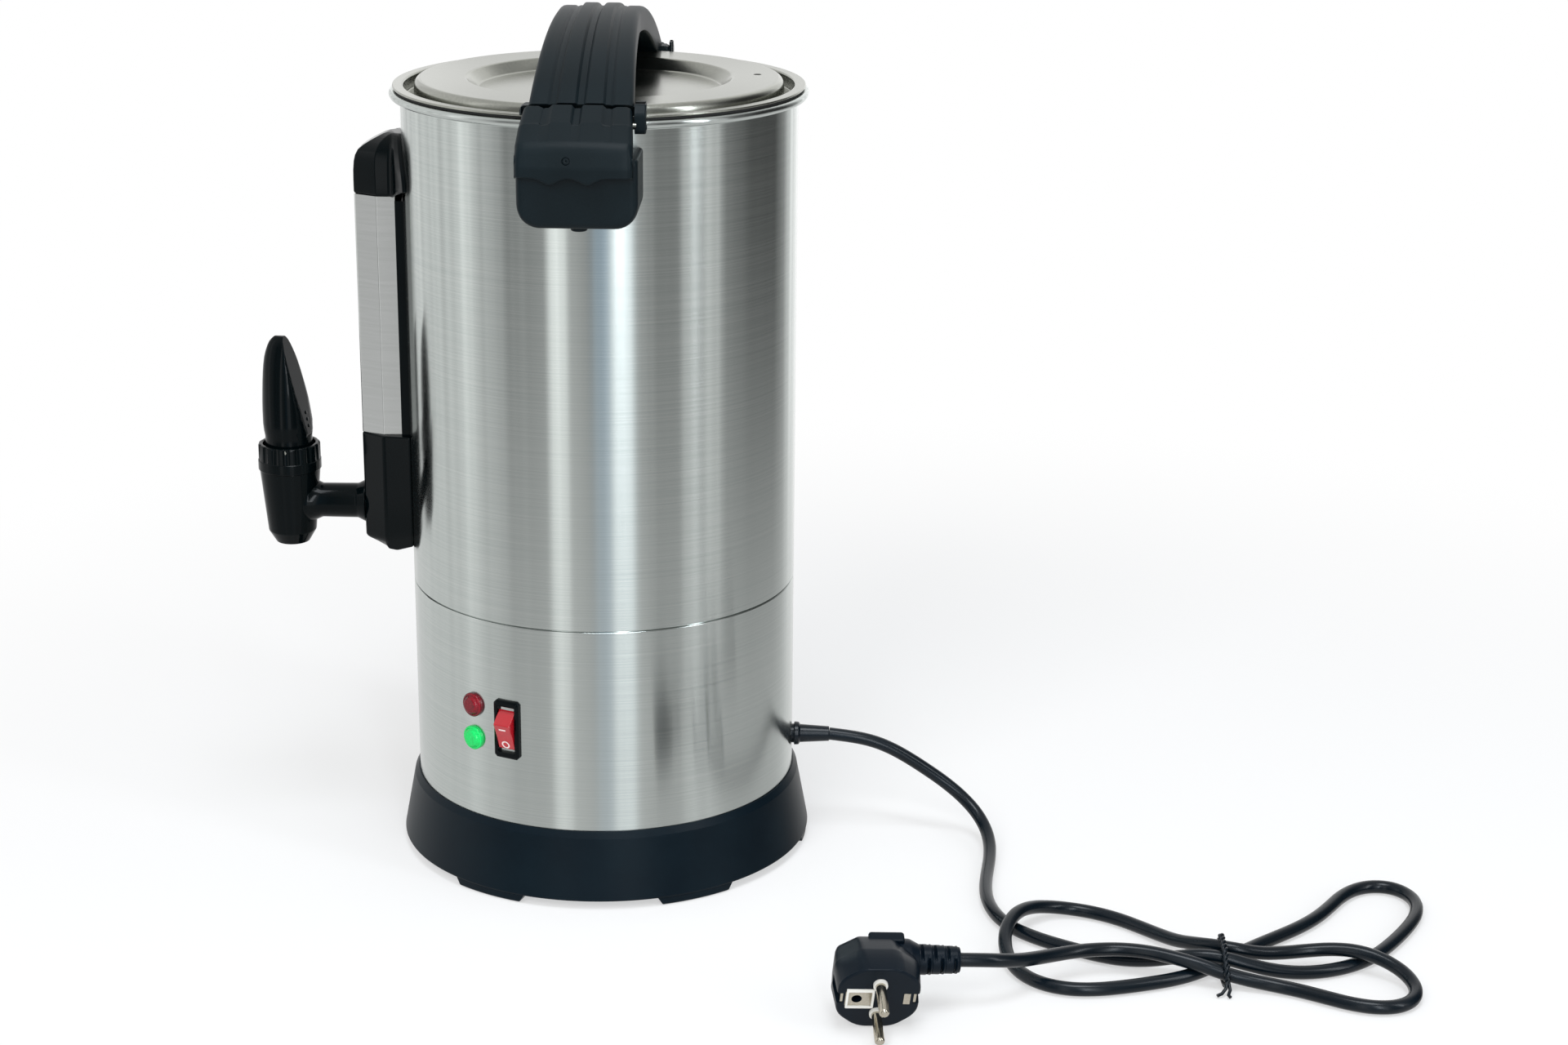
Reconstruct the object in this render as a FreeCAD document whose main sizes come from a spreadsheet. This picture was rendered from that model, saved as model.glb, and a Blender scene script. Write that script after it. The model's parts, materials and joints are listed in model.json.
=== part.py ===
import FreeCAD, Part
import math
import os
import re

import Sketcher
from FreeCAD import Placement, Rotation, Vector

# Mulled wine urn. +Z up, floor at Z = 0, origin on the axis of the pot.
# The tap points to -Y, the ends of the lid handle to -X and +X, the cord leaves at +Y.
# Wall-mounted pieces are drawn pointing to +X and then turned to their azimuth
# (azimuth 0 is -Y, 90 is +X, 180 is +Y).

doc = FreeCAD.newDocument("MulledWineUrn")

SIZES = [
    ("footHeight", 4, "height of the feet"),
    ("footDepth", 5, "radial depth of a foot"),
    ("footArc", 23, "arc of a foot in degrees"),
    ("footCount", 6, "number of feet"),
    ("baseRadiusOut", 6.8, "base ring, outer radius at its lower edge, out from the wall"),
    ("baseTopRadiusOut", 1.3, "base ring, outer radius at its upper edge, out from the wall"),
    ("baseTop", 39, "base ring, upper edge"),
    ("baseWall", 2.5, "base ring, wall"),
    ("seatHeight", 12, "shelf that the skirt stands on"),
    ("shelfRadiusOut", -10, "inner edge of that shelf, out from the wall"),
    ("plateSheet", 1.2, "bottom plate thickness"),
    ("bottomScrewCircleOut", -5, "circle of bottom screws, out from the wall"),
    ("bottomScrewCount", 3, "number of bottom screws"),
    ("ventCount", 12, "vent slots in the bottom plate"),
    ("ventWidth", 4, "width of a vent slot"),
    ("ventInner", 58, "vent slot, inner end"),
    ("ventOuter", 80, "vent slot, outer end"),
    ("fit", 0.2, "clearance between fixed round pieces"),
    ("bodyRadius", 100, "outer radius of tank and skirt"),
    ("bodySheet", 0.8, "sheet of tank and skirt"),
    ("seamHeight", 146.4, "upper edge of the skirt"),
    ("seamGap", 0.6, "open seam between skirt and tank"),
    ("spigotRise", 4.6, "spigot above the seam"),
    ("spigotDepth", 8, "spigot below the seam"),
    ("tankFloorUp", 5.6, "underside of the tank floor, above the seam"),
    ("floorSheet", 1, "tank floor thickness"),
    ("floorRound", 6, "inner corner of the tank floor"),
    ("rimTop", 402.6, "top of the rolled bead"),
    ("rimBead", 4, "height of the rolled bead"),
    ("rimReach", 5.4, "reach of the bead beyond the wall"),
    ("gasketSheet", 1.2, "lid gasket thickness"),
    ("gasketInnerOut", -0.5, "lid gasket inner radius, out from the wall"),
    ("gasketOuterOut", 2.8, "lid gasket outer radius, out from the wall"),
    ("flangeRadiusOut", 3.6, "lid flange, outer radius, out from the wall"),
    ("flangeSheet", 1.2, "lid flange, rolled edge"),
    ("lidSheet", 0.8, "lid sheet"),
    ("lidClearance", 0.5, "lid wall inside the tank"),
    ("troughFloorUp", -4.6, "upper side of the trough of the lid, above the rim"),
    ("troughInnerOut", -6.6, "inner radius of the trough, out from the wall"),
    ("ringHeightUp", 5.4, "flat ring of the lid, above the rim"),
    ("ringRadiusOut", -7.8, "outer radius of the flat ring, out from the wall"),
    ("dishRadius", 67, "outer radius of the dish"),
    ("dishFloorRadius", 61, "flat radius of the dish"),
    ("dishFloorUp", -0.2, "upper side of the dish floor, above the rim"),
    ("ventHoleRadius", 2, "steam hole in the lid"),
    ("ventHoleX", -10, "steam hole, place"),
    ("ventHoleYOut", -21, "steam hole, place, out from the wall"),
    ("handleTopUp", 40.4, "top of the handle arch, above the rim"),
    ("handleSpanOut", 4.5, "half span of the arch's upper side, out from the wall"),
    ("handleEndUp", 8.7, "arch's upper side at its end, above the rim"),
    ("archGrip", 14.8, "thickness of the arch in the middle"),
    ("archInnerSpanOut", -12, "half span of the arch's lower side, out from the wall"),
    ("archInnerEndUp", 2.4, "arch's lower side at its end, above the rim"),
    ("archHalfMiddle", 20.3, "half width of the arch in the middle"),
    ("archHalfEnd", 26.2, "half width of the arch at its ends"),
    ("archBlend", 400, "radius between the two sides of the waist"),
    ("endInnerOut", -8.2, "handle end block, inner face, out from the wall"),
    ("endHalf", 29, "handle end block, half width"),
    ("endTopUp", 7, "handle end block, top, above the rim"),
    ("hingeReachOut", 10, "latch pin, out from the wall"),
    ("hingeHeightUp", -0.6, "latch pin, above the rim"),
    ("pinRadius", 1.25, "latch pin radius"),
    ("pinFit", 0.06, "running clearance on pins"),
    ("lugRadius", 3, "hinge lug radius"),
    ("lugInner", 14, "hinge lug, inner face"),
    ("lugOuter", 20, "hinge lug, outer face"),
    ("latchHalf", 27.5, "latch half width"),
    ("latchWall", 2, "latch shell"),
    ("latchSide", 3, "latch side wall"),
    ("latchBackReachOut", 4.7, "latch, rear upper edge, out from the wall"),
    ("latchBackTopUp", 8.6, "latch, rear upper edge, above the rim"),
    ("latchBendReachOut", 18, "latch, middle of the slope, out from the wall"),
    ("latchBendTopUp", 2, "latch, middle of the slope, above the rim"),
    ("latchShoulderReachOut", 31.8, "latch, shoulder, out from the wall"),
    ("latchShoulderTopUp", -8.4, "latch, shoulder, above the rim"),
    ("latchFrontOut", 34.5, "latch, front face, out from the wall"),
    ("latchLipUp", -22.6, "latch, lower edge of the lip, above the rim"),
    ("latchSideBottomUp", -12, "latch, lower edge of the side walls, above the rim"),
    ("noseDepth", 1.2, "nose inside the lip"),
    ("noseHeight", 2, "height of that nose"),
    ("latchGap", 0.4, "running clearance of the latch"),
    ("bracketFrontOut", 30, "side grip, front face, out from the wall"),
    ("bracketHalf", 28.5, "side grip, half width"),
    ("bracketBottomUp", -46.2, "side grip, lower face, above the rim"),
    ("bracketTopUp", -13.3, "side grip, upper face, above the rim"),
    ("bracketRound", 10, "side grip, lower corners"),
    ("studRadius", 2, "welded stud"),
    ("studReachOut", 16, "welded stud, end out from the wall"),
    ("studHalf", 12, "half spacing of the studs"),
    ("studHeightUp", -28.6, "studs, above the rim"),
    ("gaugeSpare", 0.4, "sight gauge, room between the gauge branch and its front"),
    ("gaugeFrontHalf", 8.2, "sight gauge, half width of the front face"),
    ("gaugeCornerOut", 12.5, "sight gauge, corner between side faces, out from the wall"),
    ("gaugeCornerHalf", 15, "sight gauge, half width at that corner"),
    ("gaugeBackHalf", 16, "sight gauge, half width at the wall"),
    ("gaugeBackOut", 3, "sight gauge, front of its back plate, out from the wall"),
    ("gaugeSheet", 1.2, "sight gauge, cover sheet"),
    ("gaugeBottomUp", 38.2, "cover, lower end, above the shank"),
    ("gaugeTopUp", -56.8, "cover, upper end, above the rim"),
    ("slotHalf", 3.5, "sight slot, half width"),
    ("slotMargin", 10, "sight slot, distance from the cover's ends"),
    ("capTopUp", -22.2, "cap, upper end, above the rim"),
    ("capSlopeBottomUp", -40.6, "cap, lower end of its sloped face, above the rim"),
    ("capFlatOut", 9, "cap, end of the flat top, out from the wall"),
    ("capFootLow", 25, "cap, half width at the wall, lower end"),
    ("capFootHigh", 10, "cap, half width at the wall, upper end"),
    ("capFootDepth", 3.5, "cap, thickness of the foot at the wall"),
    ("glassReachOut", 14.5, "axis of the sight glass, out from the wall"),
    ("glassRadius", 5, "sight glass, outer radius"),
    ("glassWall", 1.4, "sight glass, wall"),
    ("glassBottomUp", 12.4, "sight glass, lower end, above the shank"),
    ("glassTopUp", -42.6, "sight glass, upper end, above the rim"),
    ("sealWall", 1.6, "sight glass seal, wall"),
    ("sealHeight", 4, "sight glass seal, height"),
    ("shieldBottomUp", -24.6, "shield, lower end at the wall, above the shank"),
    ("shieldCornerDrop", 7.7, "shield, rise of its sloped underside"),
    ("shieldFrontHalf", 9, "shield, half width of the front face"),
    ("shieldCornerHalf", 18, "shield, half width at the corner"),
    ("shieldBackHalf", 20, "shield, half width at the wall"),
    ("shieldWall", 2.5, "shield, wall"),
    ("shieldCavityBottomUp", -14.6, "shield, lowest part of its hollow, above the shank"),
    ("shankHeightUp", 30.6, "axis of the tap shank, above the tank floor"),
    ("shankStep", 1, "tap shank, front part beyond the thread"),
    ("threadRadius", 8, "tap shank, thread radius"),
    ("shankEndOut", -14, "tap shank, inner end, out from the wall"),
    ("shankWall", 3, "tap shank, wall under the thread"),
    ("shoulderReachOut", 2, "shoulder of the shank, out from the wall"),
    ("shoulderStep", 4, "shoulder of the shank beyond the thread"),
    ("flareStep", 2, "flare of the shank at the shield"),
    ("teeWall", 0.8, "gauge branch, wall at the seal"),
    ("teeTopUp", 17.4, "gauge branch, upper end, above the shank"),
    ("washerInnerOut", -4, "inner washer, end at the nut, out from the wall"),
    ("washerWall", 5, "washers, width of the ring"),
    ("nutLength", 8, "shank nut, length"),
    ("nutWall", 5.5, "shank nut, corners beyond the thread"),
    ("tapReachOut", 65, "axis of the tap barrel, out from the wall"),
    ("barrelTopUp", 17.4, "barrel, upper end, above the shank"),
    ("barrelShoulder", 0.65, "barrel, step inside the screw ring"),
    ("barrelBottomUp", -16.6, "barrel, lower edge, above the shank"),
    ("barrelBottomRadius", 12.35, "barrel, outer radius at that edge"),
    ("nozzleBottomUp", -22.6, "spout, lower end, above the shank"),
    ("nozzleRadius", 8.75, "spout, outer radius"),
    ("outletRadius", 6, "spout, bore radius"),
    ("chamberFloorUp", -10.6, "valve seat, above the shank"),
    ("chamberRadius", 9.5, "valve chamber radius"),
    ("spigotWall", 2, "barrel, wall inside the screw ring"),
    ("spigotTopUp", 21.4, "thread of the barrel, upper end, above the shank"),
    ("collarStep", 0.8, "screw ring, step under its lip"),
    ("collarWall", 2, "screw ring, wall"),
    ("collarTopUp", 31.4, "screw ring, upper end, above the shank"),
    ("collarBand", 5, "screw ring, smooth lower band"),
    ("ballFit", 0.35, "gap round the ball foot"),
    ("notchCount", 16, "notches in the screw ring"),
    ("notchDepth", 0.6, "depth of a notch"),
    ("notchWidth", 2.6, "width of a notch"),
    ("pivotHeightUp", 29.4, "lever pin, above the shank"),
    ("ballRadius", 13.25, "ball foot of the lever"),
    ("ballCut", 9, "ball foot, flat below the pin"),
    ("ballHollow", 8.5, "hollow of the ball foot, radius"),
    ("ballHollowTop", 1.5, "hollow of the ball foot, below the pin"),
    ("hornTopUp", 87.4, "tip of the lever, above the shank"),
    ("hornMiddleUp", 57.4, "middle of the lever, above the shank"),
    ("hornGap", 1, "lever, gap to the lip of the screw ring"),
    ("hornMiddleRadius", 7.6, "lever radius in its middle"),
    ("hornTipRadius", 5, "lever radius near its tip"),
    ("leverPinRadius", 1.25, "lever pin radius"),
    ("stemRadius", 2, "valve stem radius"),
    ("stemHead", 3, "valve stem head radius"),
    ("stemTopUp", 22.2, "valve stem, upper end, above the shank"),
    ("seatRadius", 8, "valve seat radius"),
    ("seatHeightTap", 4, "valve seat height"),
    ("springWire", 1, "tap spring wire"),
    ("springRadius", 5, "tap spring, radius of its middle line"),
    ("springTopUp", 15.4, "tap spring, upper end, under its stop, above the shank"),
    ("stopSheet", 1.5, "spring stop, thickness"),
    ("stopHole", 3.4, "spring stop, hole for the stem"),
    ("springTurns", 6, "tap spring turns"),
    ("screwHeadStep", 1.7, "bottom screw, head beyond the thread"),
    ("screwHeadHeight", 1.9, "bottom screw, head height"),
    ("screwRadius", 1.5, "bottom screw, thread radius"),
    ("screwLength", 7, "bottom screw, length under the head"),
    ("gripScrewRadius", 1.25, "handle screw, thread radius"),
    ("gripHeadStep", 1.15, "handle screw, head beyond the thread"),
    ("gripHeadHeight", 1.8, "handle screw, head height"),
    ("gripScrewAngle", 11, "handle screws, degrees off the handle's line"),
    ("switchAzimuth", 65, "switch, azimuth"),
    ("switchHeight", 90.6, "switch, height"),
    ("rockerPivotOut", -5, "rocker pivot, out from the wall"),
    ("rockerEdge", 9.3, "rocker, edges of its face in front of the pivot"),
    ("rockerEdgeHalf", 7.6, "rocker, half height of its face"),
    ("rockerValley", 0.5, "rocker, hollow of its face"),
    ("rockerEnd", 1.2, "rocker, ends in front of the pivot"),
    ("rockerHalfHeight", 11.4, "rocker, half height"),
    ("rockerBack", 2.5, "rocker, behind the pivot"),
    ("rockerHalfWidth", 4.7, "rocker, half width"),
    ("rockerTilt", 20, "rocker, tilt at rest in degrees"),
    ("rockerFit", 0.3, "rocker, gap above and below its sweep"),
    ("switchSide", 1.1, "switch housing, side wall"),
    ("switchEnd", 1.5, "switch housing, end wall"),
    ("bezelSide", 1.25, "bezel, side beyond the housing"),
    ("bezelEnd", 1.7, "bezel, end beyond the housing"),
    ("bezelSheet", 2, "switch bezel"),
    ("switchDepth", 22, "switch housing"),
    ("lampAzimuth", 52.7, "lamps, azimuth"),
    ("lampRedHeight", 99.6, "red lamp, height"),
    ("lampGreenHeight", 81.7, "green lamp, height"),
    ("lampRadius", 6.3, "lamp head radius"),
    ("lampStem", 5, "lamp stem radius"),
    ("lampReachOut", 3.4, "lamp head, top, out from the wall"),
    ("lampDepthOut", -16, "lamp stem, inner end, out from the wall"),
    ("heaterRadius", 70, "heater plate radius"),
    ("heaterSheet", 4, "heater plate thickness"),
    ("elementRing", 52, "heating element, ring radius"),
    ("elementRadius", 4, "heating element, tube radius"),
    ("elementArc", 320, "heating element, arc in degrees"),
    ("elementFit", 0.1, "heating element in its groove"),
    ("terminalDrop", 14, "length of the element's terminals"),
    ("terminalRadius", 1.5, "radius of the element's terminals"),
    ("thermostatRadius", 8, "thermostat"),
    ("thermostatHeight", 10, "thermostat"),
    ("thermostatPlace", 25, "thermostat, distance from the axis"),
    ("fuseRadius", 3.5, "thermal fuse"),
    ("fuseLength", 22, "thermal fuse"),
    ("blockLength", 40, "terminal block"),
    ("blockWidth", 20, "terminal block"),
    ("blockHeight", 16, "terminal block"),
    ("blockPlace", 40, "terminal block, distance from the axis"),
    ("wireRadius", 1.2, "inner wire"),
    ("glandHeight", 55, "cord gland, height"),
    ("glandLedge", 1.3, "cord gland, ledge behind the skirt"),
    ("glandStep", 0.4, "cord gland, step at the skirt"),
    ("glandInnerOut", -7, "cord gland, inner end, out from the wall"),
    ("glandTaper", 0.9, "strain relief, growth towards the wall"),
    ("glandSkin", 0.5, "strain relief, wall at its tip"),
    ("glandReachOut", 20, "strain relief, tip, out from the wall"),
    ("cordRadius", 3.4, "mains cord"),
    ("tieWall", 0.8, "cord tie"),
    ("tieWidth", 4, "cord tie"),
    ("plugRadius", 19.4, "plug disc"),
    ("plugDisc", 14, "plug disc, depth"),
    ("plugDepth", 33, "plug, depth"),
    ("plugBackRadius", 15.5, "plug, radius at its back"),
    ("plugTilt", 20, "plug, tilt of its pins below level"),
    ("reliefBack", 25, "plug, cord axis behind the face"),
    ("reliefReach", 41, "plug, end of its strain relief"),
    ("reliefRoot", 7, "plug strain relief, radius at the plug"),
    ("reliefTip", 5.8, "plug strain relief, radius at its end"),
    ("pinHalfSpacing", 9.5, "plug pins, half spacing"),
    ("plugPinRadius", 2.4, "plug pins"),
    ("plugPinLength", 19, "plug pins"),
    ("collarPinRadius", 3.4, "plug pin collars"),
    ("collarPinHeight", 1.5, "plug pin collars"),
    ("clipHalf", 3, "earth clips, half width"),
    ("clipSheet", 1.2, "earth clips, sheet"),
    ("clipDepth", 12, "earth clips, length"),
    ("clipRecess", 16.6, "earth clips, recess from the plug's axis"),
]

# Places and radii that follow from those sizes.
FOLLOWING = [
    ("baseRadius", "bodyRadius + baseRadiusOut"),
    ("baseTopRadius", "bodyRadius + baseTopRadiusOut"),
    ("shelfRadius", "bodyRadius + shelfRadiusOut"),
    ("bottomScrewCircle", "bodyRadius + bottomScrewCircleOut"),
    ("insideWall", "bodyRadius - 10"),
    ("tankFloor", "seamHeight + tankFloorUp"),
    ("gasketInner", "bodyRadius + gasketInnerOut"),
    ("gasketOuter", "bodyRadius + gasketOuterOut"),
    ("flangeRadius", "bodyRadius + flangeRadiusOut"),
    ("troughFloor", "rimTop + troughFloorUp"),
    ("troughInner", "bodyRadius + troughInnerOut"),
    ("ringHeight", "rimTop + ringHeightUp"),
    ("ringRadius", "bodyRadius + ringRadiusOut"),
    ("dishFloor", "rimTop + dishFloorUp"),
    ("ventHoleY", "bodyRadius + ventHoleYOut"),
    ("handleTop", "rimTop + handleTopUp"),
    ("handleSpan", "bodyRadius + handleSpanOut"),
    ("handleEnd", "rimTop + handleEndUp"),
    ("archInnerSpan", "bodyRadius + archInnerSpanOut"),
    ("archInnerEnd", "rimTop + archInnerEndUp"),
    ("endInner", "bodyRadius + endInnerOut"),
    ("endTop", "rimTop + endTopUp"),
    ("hingeReach", "bodyRadius + hingeReachOut"),
    ("hingeHeight", "rimTop + hingeHeightUp"),
    ("latchBackReach", "bodyRadius + latchBackReachOut"),
    ("latchBackTop", "rimTop + latchBackTopUp"),
    ("latchBendReach", "bodyRadius + latchBendReachOut"),
    ("latchBendTop", "rimTop + latchBendTopUp"),
    ("latchShoulderReach", "bodyRadius + latchShoulderReachOut"),
    ("latchShoulderTop", "rimTop + latchShoulderTopUp"),
    ("latchFront", "bodyRadius + latchFrontOut"),
    ("latchLip", "rimTop + latchLipUp"),
    ("latchSideBottom", "rimTop + latchSideBottomUp"),
    ("bracketFront", "bodyRadius + bracketFrontOut"),
    ("bracketBottom", "rimTop + bracketBottomUp"),
    ("bracketTop", "rimTop + bracketTopUp"),
    ("studReach", "bodyRadius + studReachOut"),
    ("studHeight", "rimTop + studHeightUp"),
    ("gaugeCorner", "bodyRadius + gaugeCornerOut"),
    ("gaugeBack", "bodyRadius + gaugeBackOut"),
    ("gaugeTop", "rimTop + gaugeTopUp"),
    ("capTop", "rimTop + capTopUp"),
    ("capSlopeBottom", "rimTop + capSlopeBottomUp"),
    ("capFlat", "bodyRadius + capFlatOut"),
    ("glassReach", "bodyRadius + glassReachOut"),
    ("glassBore", "glassRadius - glassWall"),
    ("glassTop", "rimTop + glassTopUp"),
    ("sealRadius", "glassRadius + sealWall"),
    ("shankHeight", "tankFloor + shankHeightUp"),
    ("gaugeBottom", "shankHeight + gaugeBottomUp"),
    ("glassBottom", "shankHeight + glassBottomUp"),
    ("shieldBottom", "shankHeight + shieldBottomUp"),
    ("shieldCavityBottom", "shankHeight + shieldCavityBottomUp"),
    ("shankRadius", "threadRadius + shankStep"),
    ("shankEnd", "bodyRadius + shankEndOut"),
    ("shankBore", "threadRadius - shankWall"),
    ("shoulderReach", "bodyRadius + shoulderReachOut"),
    ("shoulderRadius", "threadRadius + shoulderStep"),
    ("flareRadius", "shankRadius + flareStep"),
    ("teeRadius", "sealRadius + teeWall"),
    ("gaugeFront", "glassReach + teeRadius + gaugeSpare + shieldWall"),
    ("teeTop", "shankHeight + teeTopUp"),
    ("washerInner", "bodyRadius + washerInnerOut"),
    ("washerRadius", "threadRadius + washerWall"),
    ("nutRadius", "threadRadius + nutWall"),
    ("tapReach", "bodyRadius + tapReachOut"),
    ("barrelTop", "shankHeight + barrelTopUp"),
    ("barrelBottom", "shankHeight + barrelBottomUp"),
    ("nozzleBottom", "shankHeight + nozzleBottomUp"),
    ("chamberFloor", "shankHeight + chamberFloorUp"),
    ("spigotTop", "shankHeight + spigotTopUp"),
    ("collarTop", "shankHeight + collarTopUp"),
    ("collarLip", "ballRadius + ballFit"),
    ("collarInner", "collarLip + collarStep"),
    ("mouthRadius", "collarInner - fit - spigotWall"),
    ("collarRadius", "collarInner + collarWall"),
    ("barrelTopRadius", "collarRadius - barrelShoulder"),
    ("pivotHeight", "shankHeight + pivotHeightUp"),
    ("hornTop", "shankHeight + hornTopUp"),
    ("hornMiddle", "shankHeight + hornMiddleUp"),
    ("hornBaseRadius", "collarLip - hornGap"),
    ("stemTop", "shankHeight + stemTopUp"),
    ("springTop", "shankHeight + springTopUp"),
    ("screwHeadRadius", "screwRadius + screwHeadStep"),
    ("gripHeadRadius", "gripScrewRadius + gripHeadStep"),
    ("lampReach", "bodyRadius + lampReachOut"),
    ("lampDepth", "bodyRadius + lampDepthOut"),
    ("glandInner", "bodyRadius + glandInnerOut"),
    ("glandTip", "cordRadius + glandSkin"),
    ("glandRoot", "glandTip + glandTaper"),
    ("glandHole", "glandRoot + glandStep"),
    ("glandFlange", "glandHole + glandLedge"),
    ("glandReach", "bodyRadius + glandReachOut"),
    ("rockerPivot", "bodyRadius + rockerPivotOut"),
    ("rockerOpening", "sqrt(rockerEdge * rockerEdge + rockerEdgeHalf * rockerEdgeHalf) + rockerFit"),
    ("switchHalfWidth", "rockerHalfWidth + fit + switchSide"),
    ("switchHalfHeight", "rockerOpening + switchEnd"),
    ("bezelHalfWidth", "switchHalfWidth + bezelSide"),
    ("bezelHalfHeight", "switchHalfHeight + bezelEnd"),
]

# Route of the cord, laid out by hand: control points in mm, from the gland to the plug.
# The hank's tube starts and ends in the middle of the two legs that HANK_LEGS names.
ROUTE = [
    (0, 120, 55), (0, 132.4, 53.7), (0, 144.6, 51), (0, 154.4, 46.8),
    (-0.1, 163.6, 41.4), (-0.3, 173.2, 34.9), (0.2, 183.2, 27.9), (2.9, 192.6, 20.8),
    (9, 200.2, 14.4), (18.4, 204.9, 9.3), (30.2, 206.6, 5.9), (42.9, 206.1, 4.1),
    (55.7, 204.7, 3.5), (68.5, 203.2, 3.4), (81.2, 202.3, 3.5), (93.9, 202.4, 3.6),
    (106.4, 204.2, 3.6), (118.2, 208, 3.5), (128.8, 214.4, 3.4), (137.8, 223.1, 3.5),
    (145.3, 233.3, 3.5), (151.9, 244.3, 3.5), (157.8, 255.5, 3.4), (162.7, 267.1, 3.9),
    (166.5, 278.8, 5.8), (169.4, 290.5, 9.1), (172, 302.2, 11.9), (173.9, 314, 11.5),
    (174.8, 326, 8.4), (174.5, 338.2, 5.4), (173.1, 350.6, 3.8), (170.2, 362.8, 3.4),
    (165.3, 374.3, 3.4), (158.2, 384.4, 3.4), (149.2, 393.1, 3.5), (139, 400.5, 3.5),
    (128.2, 407.4, 3.5), (116.8, 413.9, 3.5), (104.8, 419.4, 3.5), (92.1, 422.2, 3.5),
    (80.4, 420.3, 3.4), (72.2, 413.2, 3.5), (70.3, 402.9, 3.4), (75.1, 392.7, 3.4),
    (84.7, 384.3, 3.5), (96, 377.4, 3.4), (106.9, 370.4, 3.4), (116.8, 362.5, 3.5),
    (125.6, 353.7, 3.5), (133.9, 344.2, 3.5), (142.2, 334.7, 3.5), (151, 325.7, 3.8),
    (160.3, 317.3, 4.4), (169.2, 308.7, 4.4), (176.7, 299.1, 3.8), (182.4, 288.2, 3.5),
    (187, 276.4, 3.5), (191.1, 264, 3.5), (194.2, 251.5, 3.5), (194.7, 239.2, 3.5),
    (191.2, 227.8, 3.5), (183.4, 218.7, 3.4), (172.5, 212.4, 3.7), (160.3, 209.1, 5.3),
    (147.8, 208.7, 8), (135.6, 211.5, 10.5), (124.1, 216.9, 10.9), (114.3, 224.7, 8.8),
    (107.8, 234.6, 5.9), (106, 246, 4), (109.1, 257.6, 3.4), (115.8, 268.4, 3.4),
    (124.5, 278.1, 3.4), (134.3, 286.6, 4.1), (144.6, 294.3, 5.9), (154.3, 301.9, 9.4),
    (161.7, 310.7, 12), (164.7, 321.1, 11.7), (163.5, 332.5, 9.2), (160.4, 344.2, 8.2),
    (158.6, 356, 8.8), (159.3, 367.9, 10.3), (162.3, 380, 11), (167.6, 391.5, 9.4),
    (175.8, 400.5, 6.7), (186.7, 404.5, 4.4), (197.8, 402.1, 3.5), (205.7, 394.1, 3.4),
    (207.8, 382.7, 3.5), (204.4, 370.8, 3.5), (197.9, 359.5, 3.5), (191.4, 348.6, 3.4),
    (186.9, 337.3, 3.7), (184.6, 325.5, 5), (182.9, 313.5, 7.4), (180.2, 301.5, 10.6),
    (176.2, 289.6, 12.2), (172, 277.5, 13), (169.6, 265.2, 13), (170.3, 252.9, 13),
    (174.3, 241.2, 13.6), (181.2, 230.8, 14.9), (189.3, 221.6, 17), (197, 213.4, 19.5),
    (202.7, 205.4, 22), (207, 196.3, 24.2), (208.5, 184, 24.8),
]
HANK_LEGS = (23, 97)
TIE_PLACE = (172.6, 313.6)
TIE_HALF = (14.5, 8.3)
RELIEF_AXIS = Vector(-0.12, 0.99, -0.05)

sheet = doc.addObject("Spreadsheet::Sheet", "Sizes")
rows = SIZES + [(alias, "=" + text, "follows") for alias, text in FOLLOWING]
for row, (alias, value, note) in enumerate(rows, 1):
    sheet.set(f"A{row}", alias)
    sheet.set(f"B{row}", str(value))
    sheet.set(f"C{row}", note)
    sheet.setAlias(f"B{row}", alias)
doc.recompute()
ALIASES = {row[0] for row in rows}


def bound(text):
    """The expression with each size's name turned into its cell."""
    return re.sub(
        r"[A-Za-z]\w*",
        lambda word: "Sizes." + word.group() if word.group() in ALIASES else word.group(),
        str(text),
    )


def mm(text):
    return float(sheet.evalExpression(bound(text)))


def bind(thing, **properties):
    for name, text in properties.items():
        thing.setExpression(name, bound(text))
    return thing


def put(thing, x=0, y=0, z=0, turn=0, axis=Vector(0, 0, 1)):
    """Place a piece; x, y, z and turn are expressions, turn is in degrees about axis."""
    thing.Placement = Placement(Vector(mm(x), mm(y), mm(z)), Rotation(axis, mm(turn)))
    return thing


def aim(thing, azimuth, x=0, z=0, lying=False):
    """Turn a piece drawn towards +X to its azimuth; a lying one was drawn along +Z."""
    local = Placement(Vector(mm(x), 0, mm(z)), Rotation(Vector(0, 1, 0), 90 if lying else 0))
    thing.Placement = Placement(Vector(), Rotation(Vector(0, 0, 1), mm(azimuth) - 90)) * local
    return thing


# Sketches

def pin_point(sketch, geometry, end, x, y):
    """Bind one point of a sketch to two expressions, whatever their sign."""
    for kind, text, axis in (("DistanceX", x, -2), ("DistanceY", y, -1)):
        value = mm(text)
        if abs(value) < 1e-9:
            sketch.addConstraint(Sketcher.Constraint("PointOnObject", geometry, end, axis))
        elif value > 0:
            index = sketch.addConstraint(Sketcher.Constraint(kind, -1, 1, geometry, end, value))
            sketch.setExpression(f"Constraints[{index}]", bound(text))
        else:
            index = sketch.addConstraint(Sketcher.Constraint(kind, geometry, end, -1, 1, -value))
            sketch.setExpression(f"Constraints[{index}]", bound(f"-({text})"))


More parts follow.
